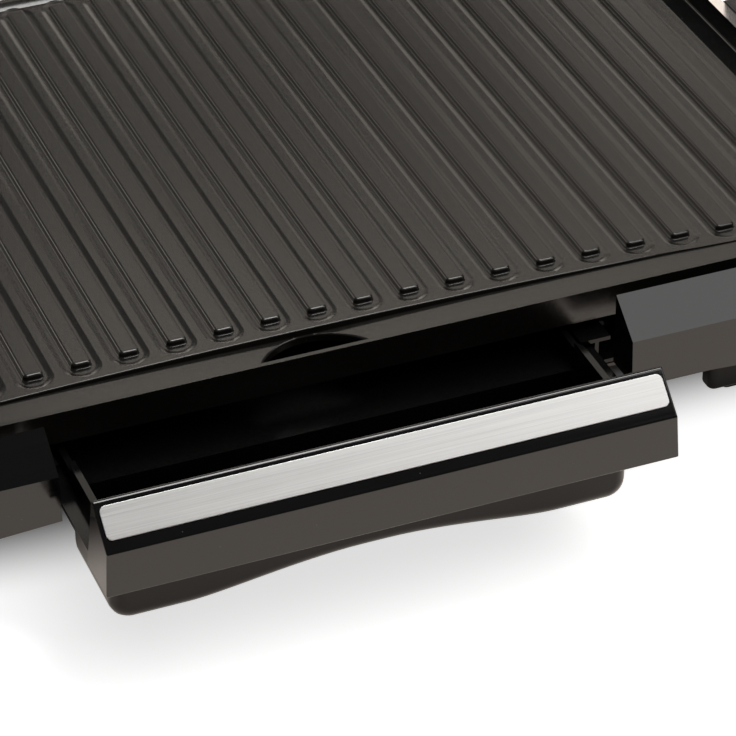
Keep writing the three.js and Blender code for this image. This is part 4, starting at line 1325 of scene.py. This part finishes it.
class GRILL_OT_drawer_front(bpy.types.Operator):
    """Builds the bevelled drawer front and the metal strip in its recess"""

    bl_idname = "grill.drawer_front"
    bl_label = "Drawer front"

    def execute(self, context):
        settings = context.scene.grill_drawer
        half = CAP_HALF + CAP_FLARE
        rear_top = TRAY_FRONT - CAP_REAR_LEAN
        top_front = CAP_FRONT + CAP_LEAN + CAP_RUN
        section = [
            (rear_top, CAP_TOP),
            (top_front, CAP_TOP),
            (CAP_FRONT + CAP_LEAN, CAP_CREASE),
            (CAP_FRONT, CAP_BOTTOM),
            (TRAY_FRONT, CAP_BOTTOM),
        ]
        cap = draw_across("drawer_front", half, section)
        edit(cap)
        for side in (-1, 1):
            choose_points(cap, lambda p: side * p.x > 1 and p.z > CAP_CREASE - 1)
            shift(-side * CAP_FLARE, 0, 0)
        done()
        inner = CAP_HALF - CAP_WALL
        back = TRAY_FRONT + 2 * PAST
        low = CAP_BOTTOM - 2 * PAST
        section = [
            (back, CAP_TOP - CAP_WALL),
            (top_front, CAP_TOP - CAP_WALL),
            (CAP_FRONT + CAP_LEAN + CAP_WALL, CAP_CREASE - CAP_CREASE_SINK),
            (CAP_FRONT + CAP_WALL, low),
            (back, low),
        ]
        hollow = draw_across("cap_hollow", inner, section)
        cut(cap, hollow)
        round_edges(cap, CAP_ROUND, 3)
        margin = settings.strip_top_margin / MM
        width = settings.strip_width / MM
        corner = settings.strip_corner / MM
        reach = CAP_HALF - settings.strip_end_margin / MM

        def strip_bar(name, room, steps, sink, height):
            """A bar of the strip's outline on the bevel, from a depth and of a height."""
            points = rounded_points(
                (-reach - room, margin - room),
                (reach + room, margin + width + room),
                corner + room,
                steps,
                lambda u, v: on_bevel(u, v, -sink),
            )
            return draw_bar(name, points, on_bevel(0, 0, height) - on_bevel(0, 0, 0))

        cut(cap, strip_bar("strip_recess", ROOM, 5, STRIP_SHEET, 6))
        finish_piece(cap, "drawer", "gloss_black", "drawer_cap")
        strip = strip_bar("brushed_strip", 0, 6, STRIP_DEPTH, STRIP_SHEET)
        round_edges(strip, STRIP_ROUND, 2)
        finish_piece(strip, "drawer", "brushed_aluminium", "drawer_strip")
        return {"FINISHED"}


def well_points(inset, y):
    """Front view of the well: rounded lower corners and an arched bottom."""
    half = WELL_HALF - inset
    low = WELL_BOTTOM + inset
    high = low + WELL_ARCH
    radius = WELL_CORNER - inset
    top = TRAY_RIM + WELL_RISE
    first, second, third, last = ARCH_REACH
    arch = []
    for index in range(15):
        t = index / 14
        x = first * (1 - t) ** 3 + second * (1 - t) ** 2 * t + third * (1 - t) * t**2 + last * t**3
        arch.append((x, low + (high - low) * (3 * t**2 - 2 * t**3)))
    outline = [(-half, top)]
    outline += arc(-half + radius, low + radius, radius, 180, 8)
    outline += [(-x, z) for x, z in arch]
    outline += reversed(arch)
    outline += arc(half - radius, low + radius, radius, 270, 8)
    outline.append((half, top))
    return [at(x, y, z) for x, z in outline]


def well_body(name, inset, rounding):
    """The tray's well as a solid, with its lower edges rounded."""
    front, rear = TRAY_FRONT + inset, WELL_REAR - inset
    body = draw_bar(name, well_points(inset, front), by(0, rear - front, 0))
    edit(body, "EDGE")
    top = TRAY_RIM + WELL_RISE - 1
    choose_edges(body, lambda a, b: abs(a.y - b.y) < 0.01 and min(a.z, b.z) < top)
    bevel(rounding, 4)
    face_outward(body)
    return body


class GRILL_OT_tray(bpy.types.Operator):
    """Builds the drip tray with its well, shelf and side tongues"""

    bl_idname = "grill.tray"
    bl_label = "Drip tray"

    def execute(self, context):
        tray = well_body("drip_tray_body", 0.0, WELL_ROUND)
        wide = WELL_HALF + PAST
        over = add_block(
            "over_tool",
            (-wide, TRAY_FRONT - PAST, TRAY_RIM),
            (wide, WELL_REAR + PAST, ABOVE_ALL),
        )
        cut(tray, over)
        back = WELL_REAR - 2 * TRAY_WALL
        section = [
            (back, SHELF_BOTTOM),
            (SHELF_REAR, SHELF_BOTTOM + SHELF_FALL),
            (SHELF_REAR, SHELF_RIM),
            (back, SHELF_RIM),
        ]
        extras = [draw_across("shelf", WELL_HALF, section)]
        tilt = CAP_REAR_LEAN / (CAP_TOP - CAP_BOTTOM)

        def rear_at(z):
            return TRAY_FRONT - tilt * (z - CAP_BOTTOM)

        inner = WELL_HALF - TRAY_WALL
        under = TONGUE_TOP - TONGUE_SHEET
        for side in (-1, 1):
            near, far = sorted((side * TONGUE_EDGE, side * inner))
            tongue = ((near, TRAY_FRONT, under), (far, SHELF_REAR, TONGUE_TOP))
            extras.append(add_block(f"tongue_{side}", *tongue))
            near, far = sorted((side * WELL_HALF, side * inner))
            front = rear_at(TRAY_RIM) - TRAY_WALL
            cheek = ((near, front, under), (far, TRAY_FRONT + PAST, TRAY_RIM))
            extras.append(add_block(f"cheek_{side}", *cheek))
        panel_half = CAP_HALF - CAP_WALL - ROOM
        low, high = CAP_BOTTOM + ROOM, CAP_TOP - CAP_WALL - ROOM
        section = [
            (rear_at(low) - TRAY_WALL, low),
            (rear_at(high) - TRAY_WALL, high),
            (rear_at(high), high),
            (rear_at(TRAY_RIM), TRAY_RIM),
            (TRAY_FRONT + TRAY_WALL, TRAY_RIM),
            (TRAY_FRONT + TRAY_WALL, low),
        ]
        extras.append(draw_across("front_panel", panel_half, section))
        weld(tray, *extras)
        well = well_body("well_hollow", TRAY_WALL, WELL_ROUND_INSIDE)
        inside_well = TRAY_FRONT + 2 * PAST
        section = [
            (inside_well, SHELF_BOTTOM + TRAY_WALL),
            (WELL_REAR - TRAY_WALL, SHELF_BOTTOM + TRAY_WALL),
            (SHELF_REAR - TRAY_WALL, SHELF_BOTTOM + SHELF_FALL + TRAY_WALL),
            (SHELF_REAR - TRAY_WALL, ABOVE_ALL),
            (inside_well, ABOVE_ALL),
        ]
        cut(tray, well, draw_across("shelf_hollow", inner, section))
        round_edges(tray, TRAY_ROUND, 2, 35)
        finish_piece(tray, "drawer", "satin_black", "drip_tray")
        return {"FINISHED"}


# Handles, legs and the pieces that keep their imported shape


class GRILL_OT_handles(bpy.types.Operator):
    """Builds the two side handles"""

    bl_idname = "grill.handles"
    bl_label = "Side handles"

    def execute(self, context):
        for side, hand in ((-1, "left"), (1, "right")):
            low, high = corners_of(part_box(f"side_handle_{hand}"))
            loop = add_block(f"handle_loop_{hand}", low, high)
            edit(loop, "EDGE")
            outer = high.x if side > 0 else low.x
            choose_edges(loop, lambda a, b: upright(a, b) and abs(a.x - outer) < 0.1)
            bevel(HANDLE_CORNER, 12)
            done()
            near, far = sorted((outer - side * HANDLE_GRIP, outer - side * HANDLE_REACH))
            gap = add_block(
                "finger_gap",
                (near, low.y + HANDLE_ARM, low.z - PAST),
                (far, high.y - HANDLE_ARM, high.z + PAST),
                HANDLE_GAP_CORNER,
                8,
            )
            cut(loop, gap)
            round_edges(loop, HANDLE_ROUND, 4)
            finish_piece(loop, "base", "gloss_black", f"side_handle_{hand}")
        return {"FINISHED"}


class GRILL_OT_legs(bpy.types.Operator):
    """Builds the four angle-shaped legs"""

    bl_idname = "grill.legs"
    bl_label = "Legs"

    def execute(self, context):
        for end, rearward in (("front", 1), ("rear", -1)):
            for hand, outward in (("left", -1), ("right", 1)):
                low, high = corners_of(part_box(f"leg_{end}_{hand}"))
                near, far = (low.y, high.y)[::rearward]
                inner, outer = (low.x, high.x)[::outward]
                corner = (outer - LEG_SHEET * outward, near + LEG_SHEET * rearward)
                plan = [
                    (inner, near),
                    (outer, near),
                    (outer, far),
                    (corner[0], far),
                    corner,
                    (inner, corner[1]),
                ]
                places = [at(x, y, low.z) for x, y in plan]
                leg = draw_bar(f"angle_leg_{end}_{hand}", places, by(0, 0, high.z - low.z))
                edit(leg, "EDGE")
                choose_edges(leg, lambda a, b: upright(a, b) and math.dist(a.xy, corner) > 1)
                bevel(LEG_CORNER, 5)
                done()
                round_edges(leg, LEG_ROUND, 3, 50)
                finish_piece(leg, "base", "satin_black", f"leg_{end}_{hand}")
        return {"FINISHED"}


class GRILL_OT_fittings(bpy.types.Operator):
    """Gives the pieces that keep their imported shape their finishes"""

    bl_idname = "grill.fittings"
    bl_label = "Fittings"

    def execute(self, context):
        for part in frame["record"]["subparts"]:
            node = frame["nodes"][part["node"]]
            if not node.hide_render:
                node.data.materials.clear()
                node.data.materials.append(finish_of(part["material_slot"]))
        return {"FINISHED"}


# Stage


def area_lamp(name, place, target, size, power, colour):
    """Adds a lit panel that faces its target."""
    clear_selection()
    bpy.ops.object.light_add(type="AREA", location=place)
    lamp = bpy.context.object
    lamp.name = name
    lamp.data.shape = "RECTANGLE"
    lamp.data.size, lamp.data.size_y = size
    lamp.data.energy = power
    lamp.data.color = colour
    lamp.rotation_euler = (Vector(target) - Vector(place)).to_track_quat("-Z", "Y").to_euler()


def floor_finish(settings):
    """Pale floor that shows white to the camera and keeps the grill's shadow, with more shade painted
    into its glow under and round the grill.
    """
    finish = Finish("pale_floor", 0.6)
    tree = finish.tree
    path = tree.nodes.new("ShaderNodeLightPath")
    seen = path.outputs["Is Camera Ray"]
    finish.colour(finish.blend_colour(settings.bounce_colour, settings.floor_colour, seen))

    def outside(front, rear, half, blur):
        """Zero on the floor within a box, rising to one past its edge."""
        low, high = ((y + ORIGIN_Y) * MM for y in (front, rear))
        outputs = finish.group(
            "footprint",
            Middle_Y=(low + high) / 2,
            Half_X=half * MM,
            Half_Y=(high - low) / 2,
            Blur=blur,
        )
        return outputs["Mask"]

    # Shade is painted into the floor's glow under the plate, and more softly round the drawer
    beside = spread(tree, outside(*WELL_PAINTED_SHADE), 0.0, 1.0, WELL_PAINTED_LIGHT, 1.0)
    lit = math_node(tree, "MULTIPLY", outside(*PLATE_PAINTED_SHADE), beside)
    # Reflections see this painted shade deeper, as its square
    lit = math_node(tree, "MULTIPLY", lit, math_node(tree, "MAXIMUM", seen, lit))
    glow = finish.blend_colour(settings.bounce_colour, (1.0, 1.0, 1.0), seen)
    lit_glow = finish.blend_colour((0, 0, 0), glow, lit)
    tree.links.new(lit_glow, finish.shader.inputs["Emission Color"])
    shown = math_node(tree, "MAXIMUM", seen, path.outputs["Is Glossy Ray"])
    shown = math_node(tree, "MAXIMUM", shown, path.outputs["Is Transmission Ray"])
    strength = math_node(tree, "MULTIPLY", shown, settings.floor_lift)
    tree.links.new(strength, finish.shader.inputs["Emission Strength"])
    finish.shader.inputs["Specular IOR Level"].default_value = 0.1
    return finish.material


class GRILL_OT_stage(bpy.types.Operator):
    """Sets up the floor, the lamps, the world and the camera"""

    bl_idname = "grill.stage"
    bl_label = "Stage"

    def execute(self, context):
        settings = context.scene.grill_stage
        clear_selection()
        bpy.ops.mesh.primitive_plane_add(size=12, location=(0, 0, -0.0002))
        floor = named("studio_floor")
        floor.data.materials.append(floor_finish(settings))

        world = bpy.data.worlds.new("studio")
        context.scene.world = world
        world.use_nodes = True
        tree = world.node_tree
        back = tree.nodes["Background"]
        path = tree.nodes.new("ShaderNodeLightPath")
        back.inputs["Color"].default_value = (1.0, 0.995, 0.985, 1.0)
        strength = spread(tree, path.outputs["Is Camera Ray"], 0.0, 1.0, settings.fill, 1.0)
        tree.links.new(strength, back.inputs["Strength"])

        for lamp in LAMPS:
            area_lamp(*lamp)

        camera = bpy.data.cameras.new("studio_camera")
        camera.sensor_width = 36.0
        camera.lens = CAMERA_LENS
        camera.clip_start = 0.05
        viewer = bpy.data.objects.new("studio_camera", camera)
        context.scene.collection.objects.link(viewer)
        viewer.location = at(*CAMERA_SPOT)
        tilt, turn = math.radians(90 - CAMERA_FALL), math.radians(CAMERA_TURN)
        viewer.rotation_euler = (tilt, 0.0, turn)
        context.scene.camera = viewer
        context.scene.view_settings.view_transform = "Standard"
        return {"FINISHED"}


class GRILL_PT_panel(bpy.types.Panel):
    """Lists the grill's steps and settings"""

    bl_idname = "GRILL_PT_panel"
    bl_label = "Indoor grill"
    bl_space_type = "VIEW_3D"
    bl_region_type = "UI"
    bl_category = "Grill"

    def draw(self, context):
        layout = self.layout
        for operator in OPERATORS:
            layout.operator(operator.bl_idname)
        for group in SETTINGS:
            box = layout.box()
            box.label(text=group.replace("_", " ").capitalize())
            for name in getattr(context.scene, group).bl_rna.properties.keys():
                if name not in ("rna_type", "name"):
                    box.prop(getattr(context.scene, group), name)


SETTINGS = {
    "grill_plate": GrillPlateSettings,
    "grill_drawer": GrillDrawerSettings,
    "grill_finishes": GrillFinishSettings,
    "grill_stage": GrillStageSettings,
}
OPERATORS = (
    GRILL_OT_plate,
    GRILL_OT_base,
    GRILL_OT_drawer_front,
    GRILL_OT_tray,
    GRILL_OT_handles,
    GRILL_OT_legs,
    GRILL_OT_fittings,
    GRILL_OT_stage,
)


def register():
    for group in (*SETTINGS.values(), *OPERATORS, GRILL_PT_panel):
        bpy.utils.register_class(group)
    for name, group in SETTINGS.items():
        setattr(bpy.types.Scene, name, bpy.props.PointerProperty(type=group))


def unregister():
    for name in SETTINGS:
        delattr(bpy.types.Scene, name)
    for group in reversed((*SETTINGS.values(), *OPERATORS, GRILL_PT_panel)):
        bpy.utils.unregister_class(group)


def main():
    register()
    bpy.ops.grill.plate()
    bpy.ops.grill.base()
    bpy.ops.grill.drawer_front()
    bpy.ops.grill.tray()
    bpy.ops.grill.handles()
    bpy.ops.grill.legs()
    bpy.ops.grill.fittings()
    bpy.ops.grill.stage()
    clear_selection()


if __name__ == "__main__":
    main()
